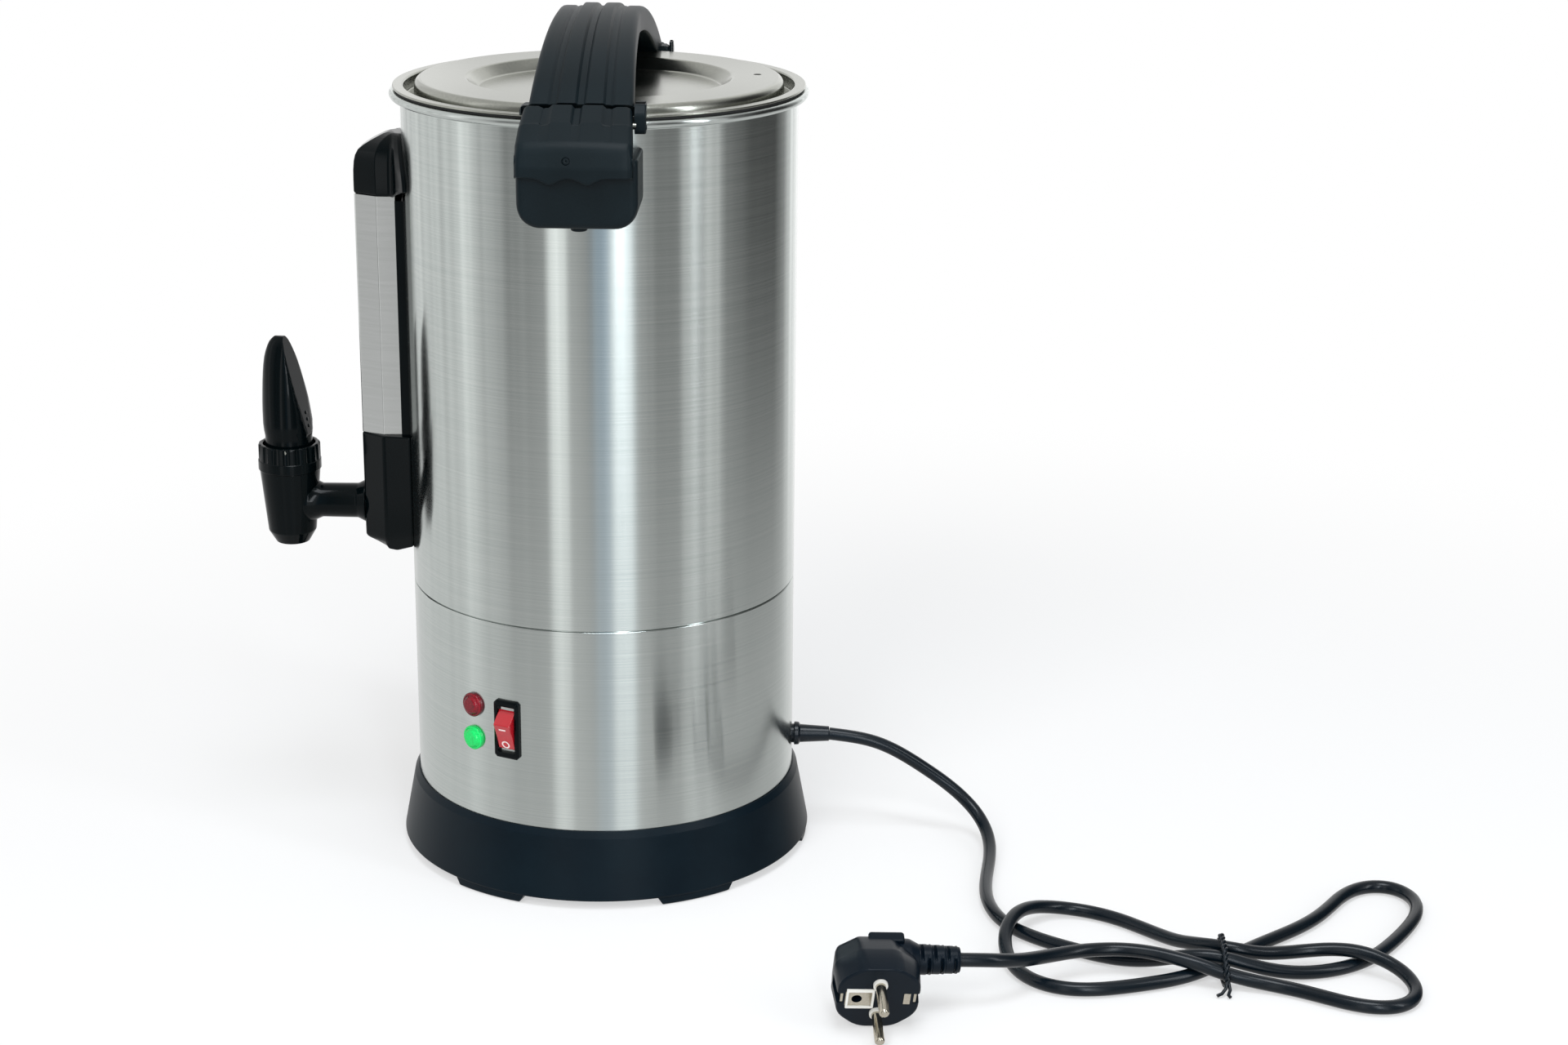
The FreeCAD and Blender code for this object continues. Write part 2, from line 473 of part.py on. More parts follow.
def draw(sketch, corners):
    """Closed outline through (x, y) or, rounded, (x, y, radius); all are expressions."""
    spots = [Vector(mm(c[0]), mm(c[1]), 0) for c in corners]
    count = len(corners)
    arcs = {}
    starts, ends = list(spots), list(spots)
    for i, corner in enumerate(corners):
        if len(corner) < 3:
            continue
        back = (spots[i - 1] - spots[i]).normalize()
        ahead = (spots[(i + 1) % count] - spots[i]).normalize()
        radius = mm(corner[2])
        half = back.getAngle(ahead) / 2
        ends[i] = spots[i] + back * (radius / math.tan(half))
        starts[i] = spots[i] + ahead * (radius / math.tan(half))
        centre = spots[i] + (back + ahead).normalize() * (radius / math.sin(half))
        left = back.cross(ahead).z < 0
        first, last = (ends[i], starts[i]) if left else (starts[i], ends[i])
        angles = [math.atan2(p.y - centre.y, p.x - centre.x) for p in (first, last)]
        arcs[i] = (Part.ArcOfCircle(Part.Circle(centre, Vector(0, 0, 1), radius), *angles), left)
    lines = [
        sketch.addGeometry(Part.LineSegment(starts[i], ends[(i + 1) % count]), False)
        for i in range(count)
    ]
    for i, corner in enumerate(corners):
        before, after = lines[i - 1], lines[i]
        if i not in arcs:
            sketch.addConstraint(Sketcher.Constraint("Coincident", before, 2, after, 1))
            pin_point(sketch, after, 1, corner[0], corner[1])
            continue
        arc = sketch.addGeometry(arcs[i][0], False)
        point = sketch.addGeometry(Part.Point(spots[i]), True)
        into, out = (1, 2) if arcs[i][1] else (2, 1)
        sketch.addConstraint(Sketcher.Constraint("Tangent", before, 2, arc, into))
        sketch.addConstraint(Sketcher.Constraint("Tangent", arc, out, after, 1))
        pin_point(sketch, point, 1, corner[0], corner[1])
        sketch.addConstraint(Sketcher.Constraint("PointOnObject", point, 1, before))
        sketch.addConstraint(Sketcher.Constraint("PointOnObject", point, 1, after))
        radius = sketch.addConstraint(Sketcher.Constraint("Radius", arc, mm(corner[2])))
        sketch.setExpression(f"Constraints[{radius}]", bound(corner[2]))


def sketch_on(body, role, corners, offset=None):
    sketch = body.newObject("Sketcher::SketchObject", body.Name + "Sketch")
    plane = next(item for item in body.Origin.OriginFeatures if item.Role == role)
    sketch.AttachmentSupport = [(plane, "")]
    sketch.MapMode = "FlatFace"
    if offset is not None:
        sketch.setExpression("AttachmentOffset.Base.z", bound(offset))
    draw(sketch, corners)
    return sketch


def turned(name, corners):
    """Body turned about Z; corners are (radius, height) expressions."""
    body = doc.addObject("PartDesign::Body", name)
    sketch = sketch_on(body, "XZ_Plane", corners)
    feature = body.newObject("PartDesign::Revolution", name + "Turn")
    feature.Profile = sketch
    feature.ReferenceAxis = (sketch, ["V_Axis"])
    feature.Angle = 360
    body.Tip = feature
    return body


def padded(name, role, corners, length, offset=None, middle=False):
    """Body padded from an outline on one of its own planes."""
    body = doc.addObject("PartDesign::Body", name)
    sketch = sketch_on(body, role, corners, offset)
    feature = body.newObject("PartDesign::Pad", name + "Pad")
    feature.Profile = sketch
    feature.Midplane = middle
    bind(feature, Length=length)
    body.Tip = feature
    return body


# Primitives and booleans

def cylinder(name, radius, height):
    return bind(doc.addObject("Part::Cylinder", name), Radius=radius, Height=height)


def block(name, x0, x1, half, z0, z1):
    """Box from x0 to x1 and z0 to z1, centred on Y."""
    box = bind(
        doc.addObject("Part::Box", name),
        Length=f"({x1}) - ({x0})", Width=f"2 * ({half})", Height=f"({z1}) - ({z0})",
    )
    return put(box, x0, f"-({half})", z0)


def joined(name, *pieces):
    fuse = doc.addObject("Part::MultiFuse", name)
    fuse.Shapes = list(pieces)
    return fuse


def grouped(name, *pieces):
    group = doc.addObject("Part::Compound", name)
    group.Links = list(pieces)
    return group


def cut(name, base, *tools):
    result = doc.addObject("Part::Cut", name)
    result.Base = base
    result.Tool = tools[0] if len(tools) == 1 else joined(name + "Tools", *tools)
    return result


def common(name, base, tool):
    result = doc.addObject("Part::Common", name)
    result.Base = base
    result.Tool = tool
    return result


def around(name, count, make):
    """Group of equal pieces on a circle; make(i) gives each one, unturned."""
    pieces = []
    for i in range(count):
        piece = make(i)
        step = Placement(Vector(), Rotation(Vector(0, 0, 1), 360 * i / count))
        piece.Placement = step * piece.Placement
        pieces.append(piece)
    return grouped(name, *pieces)


# Cords and wires

def tube_path(points):
    """Straight runs joined by tangent arcs, each as large as its two runs allow."""
    spots = [Vector(*p) for p in points]
    edges, radii, at = [], [], spots[0]
    for before, corner, after in zip(spots, spots[1:], spots[2:]):
        back, ahead = (before - corner), (after - corner)
        reach = 0.45 * min(back.Length, ahead.Length)
        back.normalize()
        ahead.normalize()
        turn = math.pi - back.getAngle(ahead)
        if turn < 1e-3:
            continue
        enter, leave = corner + back * reach, corner + ahead * reach
        radius = reach / math.tan(turn / 2)
        centre = corner + (back + ahead).normalize() * (radius / math.cos(turn / 2))
        middle = centre + (corner - centre).normalize() * radius
        edges.append(Part.LineSegment(at, enter).toShape())
        edges.append(Part.Arc(enter, middle, leave).toShape())
        radii.append(radius)
        at = leave
    edges.append(Part.LineSegment(at, spots[-1]).toShape())
    return Part.Wire(edges), radii


def tube(name, points, radius):
    """Round tube along a route; prints its length and tightest bend."""
    path, radii = tube_path(points)
    start, heading = Vector(*points[0]), Vector(*points[1]) - Vector(*points[0])
    section = Part.Wire([Part.Circle(start, heading, mm(radius)).toShape()])
    shape = path.makePipeShell([section], True, False)
    ideal = math.pi * mm(radius) ** 2 * path.Length
    print(
        f"{name}: length {path.Length:.1f}, bends {min(radii):.1f} to {max(radii):.1f},"
        f" volume {shape.Volume / ideal:.4f} of section times length"
    )
    feature = doc.addObject("Part::Feature", name)
    feature.Shape = shape
    feature.Placement = Placement()
    return feature


def cord_runs():
    """The route in three runs: lead, hank and tail."""
    first, last = HANK_LEGS
    cuts = [
        tuple((a + b) / 2 for a, b in zip(ROUTE[i], ROUTE[i + 1])) for i in HANK_LEGS
    ]
    return (
        ROUTE[:first + 1] + [cuts[0]],
        [cuts[0]] + ROUTE[first + 1:last + 1] + [cuts[1]],
        [cuts[1]] + ROUTE[last + 1:],
    )


def self_gap(points, diameter):
    """Least gap of a tube to itself, measured on points along its path."""
    path = tube_path(points)[0]
    spots = path.discretize(Distance=1.0)
    skip = int(2.5 * diameter)
    return min(
        spots[i].distanceToPoint(spots[j])
        for i in range(len(spots)) for j in range(i + skip, len(spots))
    ) - diameter


# Pot

def base_ring():
    body = turned("base_ring", [
        ("baseRadius", "footHeight"), ("baseTopRadius", "baseTop"),
        ("bodyRadius + fit", "baseTop"), ("bodyRadius + fit", "seatHeight"),
        ("shelfRadius", "seatHeight"), ("shelfRadius", "seatHeight - baseWall"),
        ("baseRadius - baseWall", "seatHeight - baseWall"), ("baseRadius - baseWall", "footHeight"),
    ])
    foot_sketch = sketch_on(body, "XZ_Plane", [
        ("baseRadius - footDepth", "0"), ("baseRadius", "0"),
        ("baseRadius", "footHeight"), ("baseRadius - footDepth", "footHeight"),
    ])
    foot = body.newObject("PartDesign::Revolution", "footTurn")
    foot.Profile = foot_sketch
    foot.ReferenceAxis = (foot_sketch, ["V_Axis"])
    foot.Midplane = True
    bind(foot, Angle="footArc")
    feet = body.newObject("PartDesign::PolarPattern", "feet")
    feet.Originals = [foot]
    feet.Axis = (foot_sketch, ["V_Axis"])
    feet.Angle = 360
    bind(feet, Occurrences="footCount")
    body.Tip = feet
    holes = around("bottomScrewHoles", int(mm("bottomScrewCount")), lambda i: put(
        cylinder(f"bottomScrewHole{i}", "screwRadius + pinFit", "baseTop"), "bottomScrewCircle"))
    return put(cut("base_ring_drilled", body, holes), turn="-90")


def bottom_plate():
    under = "(seatHeight - baseWall - plateSheet)"
    disc = put(cylinder("bottomDisc", "baseRadius - baseWall - 2", "plateSheet"), z=under)
    slots = around("ventSlots", int(mm("ventCount")), lambda i: block(
        f"ventSlot{i}", "ventInner", "ventOuter", "ventWidth / 2", under + " - 1", "seatHeight"))
    holes = around("plateScrewHoles", int(mm("bottomScrewCount")), lambda i: put(
        cylinder(f"plateScrewHole{i}", "screwRadius + pinFit", "baseTop"), "bottomScrewCircle"))
    return put(cut("bottom_plate", disc, slots, holes), turn="-90")


def base_screws():
    def screw(i):
        under = "(seatHeight - baseWall - plateSheet)"
        return put(turned(f"baseScrew{i}", [
            ("0", "-screwHeadHeight"), ("screwHeadRadius", "-screwHeadHeight", "0.8"),
            ("screwHeadRadius", "0"), ("screwRadius", "0"), ("screwRadius", "screwLength"),
            ("0", "screwLength"),
        ]), "bottomScrewCircle", 0, under)
    return put(around("base_screws", int(mm("bottomScrewCount")), screw), turn="-90")


def switch_hole():
    hole = block("switchHole", "bodyRadius - 9", "bodyRadius + 9", "switchHalfWidth + fit / 4",
                 "-switchHalfHeight - fit / 4", "switchHalfHeight + fit / 4")
    return aim(grouped("switchHoleSide", hole), "switchAzimuth", z="switchHeight")


def lamp_hole(name, height):
    hole = cylinder(name, "lampStem + fit / 2", "20")
    return aim(hole, "lampAzimuth", "bodyRadius - 10", height, lying=True)


def lower_housing():
    spigot = "bodyRadius - bodySheet - fit"
    shell = turned("skirt", [
        ("bodyRadius", "seatHeight"), ("bodyRadius", "seamHeight", "0.3"),
        (spigot, "seamHeight"), (spigot, "seamHeight + spigotRise"),
        (spigot + " - bodySheet", "seamHeight + spigotRise"),
        (spigot + " - bodySheet", "seamHeight - spigotDepth"),
        ("bodyRadius - bodySheet", "seamHeight - spigotDepth - 2"),
        ("bodyRadius - bodySheet", "seatHeight"),
    ])
    gland = aim(cylinder("glandHole", "glandHole", "20"), "180", "bodyRadius - 10",
                "glandHeight", lying=True)
    return cut("lower_housing", shell, switch_hole(), lamp_hole("redHole", "lampRedHeight"),
               lamp_hole("greenHole", "lampGreenHeight"), gland)


def tank():
    inner = "bodyRadius - bodySheet"
    rim = "rimTop - rimBead"
    shell = turned("drum", [
        ("bodyRadius", "seamHeight + seamGap"), ("bodyRadius", rim, "1"),
        ("bodyRadius + rimReach", rim, "rimBead * 0.49"),
        ("bodyRadius + rimReach", "rimTop", "rimBead * 0.49"), (inner, "rimTop", "1.5"),
        (inner, "tankFloor + floorSheet", "floorRound"), ("0", "tankFloor + floorSheet"),
        ("0", "tankFloor"), (inner, "tankFloor"), (inner, "seamHeight + seamGap"),
    ])
    hole = aim(cylinder("tapHole", "threadRadius + 0.3", "20"), "0", "bodyRadius - 10",
               "shankHeight", lying=True)
    return cut("tank", shell, hole)


# Lid and handle

TROUGH_OUTER = "(bodyRadius - bodySheet - lidClearance - lidSheet)"
FLANGE_TOP = "(rimTop + gasketSheet + flangeSheet)"


def lid():
    under = "rimTop + gasketSheet"
    shell = turned("lidShell", [
        ("flangeRadius", FLANGE_TOP, "0.5"), (TROUGH_OUTER, FLANGE_TOP, "1"),
        (TROUGH_OUTER, "troughFloor", "1"), ("troughInner", "troughFloor", "1"),
        ("ringRadius", "ringHeight", "3.5"), ("dishRadius", "ringHeight", "2"),
        ("dishFloorRadius", "dishFloor", "2"), ("0", "dishFloor"),
        ("0", "dishFloor - lidSheet"), ("dishFloorRadius + lidSheet / 2", "dishFloor - lidSheet", "2"),
        ("dishRadius + lidSheet / 2", "ringHeight - lidSheet", "2"),
        ("ringRadius - lidSheet", "ringHeight - lidSheet", "2.7"),
        ("troughInner - lidSheet", "troughFloor - lidSheet", "1.6"),
        (TROUGH_OUTER + " + lidSheet", "troughFloor - lidSheet", "1.6"),
        (TROUGH_OUTER + " + lidSheet", under, "0.3"), ("flangeRadius", under, "0.5"),
    ])
    vent = put(cylinder("ventHole", "ventHoleRadius", "20"), "ventHoleX", "ventHoleY",
               "ringHeight - 10")
    return cut("lid", shell, vent, handle_screw_set("lidScrewHoles", "gripScrewRadius + 0.3"))


def lid_gasket():
    return turned("lid_gasket", [
        ("gasketInner", "rimTop"), ("gasketOuter", "rimTop"),
        ("gasketOuter", "rimTop + gasketSheet"), ("gasketInner", "rimTop + gasketSheet"),
    ])


SCREW_RING = "((troughInner + bodyRadius - bodySheet - lidClearance) / 2)"


def handle_screw_set(name, radius, head=False):
    """Four screws up through the trough into the end blocks."""
    pieces = []
    off = mm("gripScrewAngle")
    for i, angle in enumerate((-off, off, 180 - off, 180 + off)):
        low = "troughFloor - lidSheet"
        shaft = put(cylinder(f"{name}Shaft{i}", radius, "endTop - 4 - troughFloor"), z=low)
        if head:
            cap = put(cylinder(f"{name}Head{i}", "gripHeadRadius", "gripHeadHeight"),
                      z=low + " - gripHeadHeight")
            shaft = joined(f"{name}Screw{i}", shaft, cap)
        shift = Placement(Vector(mm(SCREW_RING), 0, 0), Rotation())
        shaft.Placement = Placement(Vector(), Rotation(Vector(0, 0, 1), angle)) * shift * shaft.Placement
        pieces.append(shaft)
    return grouped(name, *pieces)


def arch_radius(span, rise):
    return f"((({span})^2 + ({rise})^2) / (2 * ({rise})))"


def lying_cylinder(name, radius, half, x, z):
    """Cylinder along Y, centred on the XZ plane."""
    return put(cylinder(name, radius, f"2 * ({half})"), x, f"{half}", z, "90", Vector(1, 0, 0))


def handle_grip():
    outer = arch_radius("handleSpan", "handleTop - handleEnd")
    inner_top = "(handleTop - archGrip)"
    inner = arch_radius("archInnerSpan", inner_top + " - archInnerEnd")
    rings = cut(
        "archRing",
        lying_cylinder("archOuter", outer, "archHalfEnd + 5", 0, f"handleTop - {outer}"),
        lying_cylinder("archInner", inner, "archHalfEnd + 9", 0, f"{inner_top} - {inner}"),
    )
    side = "(handleSpan + 6)"
    plan = padded("archPlan", "XY_Plane", [
        ("-" + side, "-archHalfEnd"), ("0", "-archHalfMiddle", "archBlend"), (side, "-archHalfEnd"),
        (side, "archHalfEnd"), ("0", "archHalfMiddle", "archBlend"), ("-" + side, "archHalfEnd"),
    ], "handleTop", "troughFloor")
    arch = common("arch", rings, plan)
    ends = [
        aim(grouped(f"end{azimuth}", block(
            f"endBlock{azimuth}", "endInner", "handleSpan", "endHalf", "troughFloor - 2", "endTop",
        )), azimuth)
        for azimuth in ("90", "270")
    ]
    blank = joined("gripBlank", arch, *ends)
    lid_space = turned("lidSpace", [
        ("0", "troughFloor - 20"), ("bodyRadius + 8", "troughFloor - 20"),
        ("bodyRadius + 8", FLANGE_TOP), (TROUGH_OUTER, FLANGE_TOP),
        (TROUGH_OUTER, "troughFloor", "1"), ("troughInner + 0.1", "troughFloor", "1"),
        ("ringRadius + 0.1", "ringHeight + 0.1"),
        ("0", "ringHeight + 0.1"),
    ])
    relief_radius = ("sqrt((hingeReach - latchBackReach)^2 + (latchBackTop - hingeHeight)^2)"
                     " + latchGap")
    tools = [lid_space, handle_screw_set("gripScrewHoles", "gripScrewRadius + 0.05")]
    lugs, bores = [], []
    for i, side in enumerate((1, -1)):
        reach = f"({side} * hingeReach)"
        tools.append(lying_cylinder(f"latchRelief{i}", relief_radius, "latchHalf + latchGap",
                                    reach, "hingeHeight"))
        bores.append(lying_cylinder(f"pinBore{i}", "pinRadius + 0.01", "latchHalf", reach,
                                    "hingeHeight"))
        for k, end in enumerate((1, -1)):
            lug = hinge_lug(f"lug{i}{k}")
            middle = "(lugInner + lugOuter) / 2"
            if side == 1:
                put(lug, 0, f"{end} * {middle}")
            else:
                put(lug, 0, f"{end} * {middle}", 0, "180")
            lugs.append(lug)
    return cut("handle_grip", joined("gripWithLugs", cut("gripCut", blank, *tools), *lugs), *bores)


def hinge_lug(name):
    """Arm from the handle's end to the latch pin, above the lid's flange."""
    arm = padded(name + "Arm", "XZ_Plane", [
        ("hingeReach - 12.6", FLANGE_TOP), ("bodyRadius + rimReach", FLANGE_TOP),
        ("hingeReach - lugRadius", "hingeHeight"), ("hingeReach", "hingeHeight"),
        ("hingeReach", "hingeHeight + lugRadius"), ("hingeReach - 4", "hingeHeight + lugRadius + 1.3"),
        ("hingeReach - 12.6", "hingeHeight + lugRadius + 3"),
    ], "lugOuter - lugInner", middle=True)
    eye = lying_cylinder(name + "Eye", "lugRadius", "(lugOuter - lugInner) / 2", "hingeReach",
                         "hingeHeight")
    return joined(name, arm, eye)


def hinge_pins():
    pins = [lying_cylinder(f"hingePin{i}", "pinRadius", "latchHalf - 1", f"{side} * hingeReach",
                           "hingeHeight") for i, side in enumerate((1, -1))]
    return grouped("hinge_pins", *pins)


def latch(name, azimuth):
    outer = padded(name + "Outer", "XZ_Plane", [
        ("latchBackReach", "latchBackTop"), ("latchBendReach", "latchBendTop", "12"),
        ("latchShoulderReach", "latchShoulderTop", "5"), ("latchFront", "latchShoulderTop - 7", "8"),
        ("latchFront", "latchLip", "1"), ("latchFront - latchWall - 1", "latchLip"),
        ("latchFront - latchWall - 1", "latchSideBottom"), ("hingeReach - 2", "latchSideBottom"),
        ("hingeReach - lugRadius - 2.4", "hingeHeight - 3"),
    ], "2 * latchHalf", middle=True)
    slope = "((latchBackTop - latchBendTop) / (latchBendReach - latchBackReach))"
    hollow = padded(name + "Hollow", "XZ_Plane", [
        ("latchBackReach - 8", f"latchBackTop + 8 * {slope} - 1.14 * latchWall"),
        ("latchBendReach - latchWall / 2", "latchBendTop - latchWall", "10"),
        ("latchShoulderReach - 1.4", "latchShoulderTop - latchWall", "3"),
        ("latchFront - latchWall - 1", "latchShoulderTop - 6"),
        ("latchFront - latchWall - 1", "latchLip - 5"), ("latchBackReach - 8", "latchLip - 5"),
    ], "2 * (latchHalf - latchSide)", middle=True)
    nose = block(name + "Nose", "latchFront - latchWall - 1 - noseDepth",
                 "latchFront - latchWall - 0.5", "latchHalf - latchSide - 4", "latchLip + 1",
                 "latchLip + 1 + noseHeight")
    bore = lying_cylinder(name + "Bore", "pinRadius + pinFit", "latchHalf - 1 + pinFit",
                          "hingeReach", "hingeHeight")
    shell = joined(name + "Shell", cut(name + "Cut", outer, hollow, bore), nose)
    return aim(grouped(name, shell), azimuth)


def bracket(name, azimuth):
    front = padded(name + "Front", "YZ_Plane", [
        ("-bracketHalf", "bracketBottom", "bracketRound"), ("bracketHalf", "bracketBottom", "bracketRound"),
        ("bracketHalf", "bracketTop", "2"), ("-bracketHalf", "bracketTop", "2"),
    ], "bracketFront - insideWall", "insideWall")
    wall = put(cylinder(name + "Wall", "bodyRadius", "rimTop"))
    holes = [put(cylinder(f"{name}Hole{i}", "studRadius + 0.05", "studReach - insideWall"),
                 "insideWall", f"{side} * studHalf", "studHeight", "90", Vector(0, 1, 0))
             for i, side in enumerate((1, -1))]
    return aim(grouped(name, cut(name + "Cut", front, wall, *holes)), azimuth)


def bracket_studs():
    studs = []
    for azimuth in (90, 270):
        for side in (1, -1):
            stud = put(cylinder(f"stud{azimuth}{side + 1}", "studRadius", "studReach - insideWall"),
                       "insideWall", f"{side} * studHalf", "studHeight", "90", Vector(0, 1, 0))
            wall = cylinder(f"studWall{azimuth}{side + 1}", "bodyRadius", "rimTop")
            studs.append(aim(grouped(f"studEnd{azimuth}{side + 1}",
                                     cut(f"studCut{azimuth}{side + 1}", stud, wall)), azimuth))
    return grouped("bracket_studs", *studs)


# Sight gauge

def gauge_outline(front_half, corner_half, back_half, back, inset="0"):
    """Front, corner and back points of the gauge's section, from one side to the other."""
    side = [
        (back, f"{back_half} - {inset}"), ("gaugeCorner", f"{corner_half} - {inset}"),
        (f"gaugeFront - {inset}", f"{front_half} - {inset} * 0.5"),
    ]
    return [(x, f"-({y})") for x, y in side] + list(reversed(side))


def gauge_backplate():
    plate = block("backPlate", "insideWall", "gaugeBack", "gaugeBackHalf", "gaugeBottom", "gaugeTop")
    return aim(cut("gauge_backplate", plate, cylinder("backWall", "bodyRadius", "rimTop")), "0")


def gauge_cover():
    outer = padded("coverOuter", "XY_Plane", gauge_outline(
        "gaugeFrontHalf", "gaugeCornerHalf", "gaugeBackHalf", "gaugeBack"),
        "gaugeTop - gaugeBottom", "gaugeBottom")
    inner = padded("coverInner", "XY_Plane", gauge_outline(
        "gaugeFrontHalf", "gaugeCornerHalf", "gaugeBackHalf", "gaugeBack - 5", "gaugeSheet"),
        "gaugeTop - gaugeBottom + 10", "gaugeBottom - 5")
    slot = block("sightSlot", "glassReach", "gaugeFront + 5", "slotHalf", "gaugeBottom + slotMargin",
                 "gaugeTop - slotMargin")
    return aim(grouped("gauge_cover", cut("coverCut", outer, inner, slot)), "0")


def gauge_cap():
    top = padded("capTopPad", "XZ_Plane", [
        ("insideWall", "gaugeTop"), ("gaugeFront", "gaugeTop"), ("gaugeFront", "capSlopeBottom", "3"),
        ("capFlat", "capTop", "4"), ("insideWall", "capTop"),
    ], "2 * gaugeBackHalf", middle=True)
    foot = padded("capFoot", "YZ_Plane", [
        ("-capFootLow", "gaugeTop"), ("capFootLow", "gaugeTop"),
        ("capFootHigh", "capTop"), ("-capFootHigh", "capTop"),
    ], "bodyRadius + capFootDepth - insideWall", "insideWall")
    corner = padded("capCorner", "XY_Plane", gauge_outline(
        "gaugeFrontHalf", "gaugeCornerHalf", "capFootLow + 9", "insideWall - 2"), "90", "gaugeTop - 5")
    glass = put(cylinder("capGlass", "glassRadius + 0.1", "glassTop - gaugeTop + 5"), "glassReach",
                0, "gaugeTop - 5")
    seal = put(cylinder("capSeal", "sealRadius + 0.05", "sealHeight + 5"), "glassReach", 0,
               "gaugeTop - 5")
    wall = cylinder("capWall", "bodyRadius", "rimTop")
    solid = common("capSolid", joined("capJoined", top, foot), corner)
    return aim(grouped("gauge_cap", cut("capCut", solid, wall, glass, seal)), "0")


def gauge_shield():
    outline = gauge_outline("shieldFrontHalf", "shieldCornerHalf", "shieldBackHalf", "insideWall")
    outer = padded("shieldOuter", "XY_Plane", outline, "gaugeBottom - shieldBottom", "shieldBottom")
    hollow = padded("shieldHollow", "XY_Plane", gauge_outline(
        "shieldFrontHalf", "shieldCornerHalf", "shieldBackHalf", "insideWall - 1", "shieldWall"),
        "gaugeBottom - shieldWall - shieldCavityBottom", "shieldCavityBottom")
    slope = padded("shieldSlope", "XZ_Plane", [
        ("gaugeCorner - 4", "shieldBottom"), ("gaugeFront + 0.2", "shieldBottom + shieldCornerDrop"),
        ("gaugeFront + 20", "shieldBottom + 2 * shieldCornerDrop"), ("gaugeFront + 20", "shieldBottom - 9"),
        ("gaugeCorner - 4", "shieldBottom - 9"),
    ], "3 * shieldBackHalf", middle=True)
    wall = cylinder("shieldWallSpace", "bodyRadius", "rimTop")
    shank = put(cylinder("shieldShank", "shankRadius + 0.1", "60"), "insideWall", 0,
                "shankHeight", "90", Vector(0, 1, 0))
    glass = put(cylinder("shieldGlass", "glassRadius + 0.2", "60"), "glassReach", 0, "glassBottom")
    return aim(grouped("gauge_shield", cut("shieldCut", outer, hollow, slope, wall, shank, glass)), "0")


def ring(name, inner, outer, bottom, height):
    return turned(name, [
        (inner, bottom), (outer, bottom), (outer, f"{bottom} + {height}"), (inner, f"{bottom} + {height}"),
    ])


def sight_glass():
    return aim(ring("sight_glass", "glassBore", "glassRadius", "glassBottom",
                    "glassTop - glassBottom"), "0", "glassReach")


def gauge_seals():
    lower = aim(ring("sealLower", "glassRadius + 0.02", "sealRadius", "teeTop - sealHeight",
                     "sealHeight"), "0", "glassReach")
    upper = aim(ring("sealUpper", "glassRadius + 0.02", "sealRadius", "gaugeTop", "sealHeight"),
                "0", "glassReach")
    return grouped("gauge_seals", lower, upper)


# Tap

def tap_body():
    shank = put(turned("shank", [
        ("0", "shankEnd"), ("threadRadius", "shankEnd", "0.8"), ("threadRadius", "shoulderReach"),
        ("shoulderRadius", "shoulderReach"), ("shoulderRadius", "shoulderReach + 2"),
        ("shankRadius", "shoulderReach + 3"), ("shankRadius", "gaugeFront + 0.3"),
        ("flareRadius", "gaugeFront + 0.3"), ("shankRadius", "gaugeFront + 5"),
        ("shankRadius", "tapReach - 5"), ("0", "tapReach - 5"),
    ]), 0, 0, "shankHeight", "90", Vector(0, 1, 0))
    barrel = put(turned("barrel", [
        ("0", "nozzleBottom"), ("nozzleRadius", "nozzleBottom", "0.6"), ("nozzleRadius", "barrelBottom - 1"),
        ("barrelBottomRadius", "barrelBottom", "1"), ("barrelTopRadius", "barrelTop"),
        ("collarInner - 0.2", "barrelTop"), ("collarInner - 0.2", "spigotTop"), ("0", "spigotTop"),
    ]), "tapReach")
    tee = put(cylinder("tee", "teeRadius", "teeTop - shankHeight"), "glassReach", 0, "shankHeight")
    solid = joined("tapSolid", shank, barrel, tee)
    chamber = put(turned("chamber", [
        ("0", "nozzleBottom - 5"), ("outletRadius", "nozzleBottom - 5"), ("outletRadius", "chamberFloor"),
        ("chamberRadius", "chamberFloor"), ("chamberRadius", "springTop - 2"),
        ("chamberRadius + 1", "springTop"), ("mouthRadius", "springTop"),
        ("mouthRadius", "spigotTop + 5"), ("0", "spigotTop + 5"),
    ]), "tapReach")
    bore = put(cylinder("shankBore", "shankBore", "tapReach - shankEnd + 5"), "shankEnd - 5", 0,
               "shankHeight", "90", Vector(0, 1, 0))
    branch = put(cylinder("branchBore", "glassBore", "40"), "glassReach", 0, "shankHeight")
    socket = put(cylinder("branchSocket", "glassRadius + 0.1", "40"), "glassReach", 0, "glassBottom")
    seal = put(cylinder("branchSeal", "sealRadius + 0.05", "40"), "glassReach", 0,
               "teeTop - sealHeight")
    return aim(grouped("tap_body", cut("tapCut", solid, chamber, bore, branch, socket, seal)), "0")


def shank_nut():
    nut = bind(doc.addObject("Part::Prism", "nutPrism"), Circumradius="nutRadius", Height="nutLength")
    put(nut, "washerInner - nutLength", 0, "shankHeight", "90", Vector(0, 1, 0))
    hole = put(cylinder("nutHole", "threadRadius + 0.02", "40"), "shankEnd - 10", 0, "shankHeight",
               "90", Vector(0, 1, 0))
    return aim(grouped("shank_nut", cut("nutCut", nut, hole)), "0")


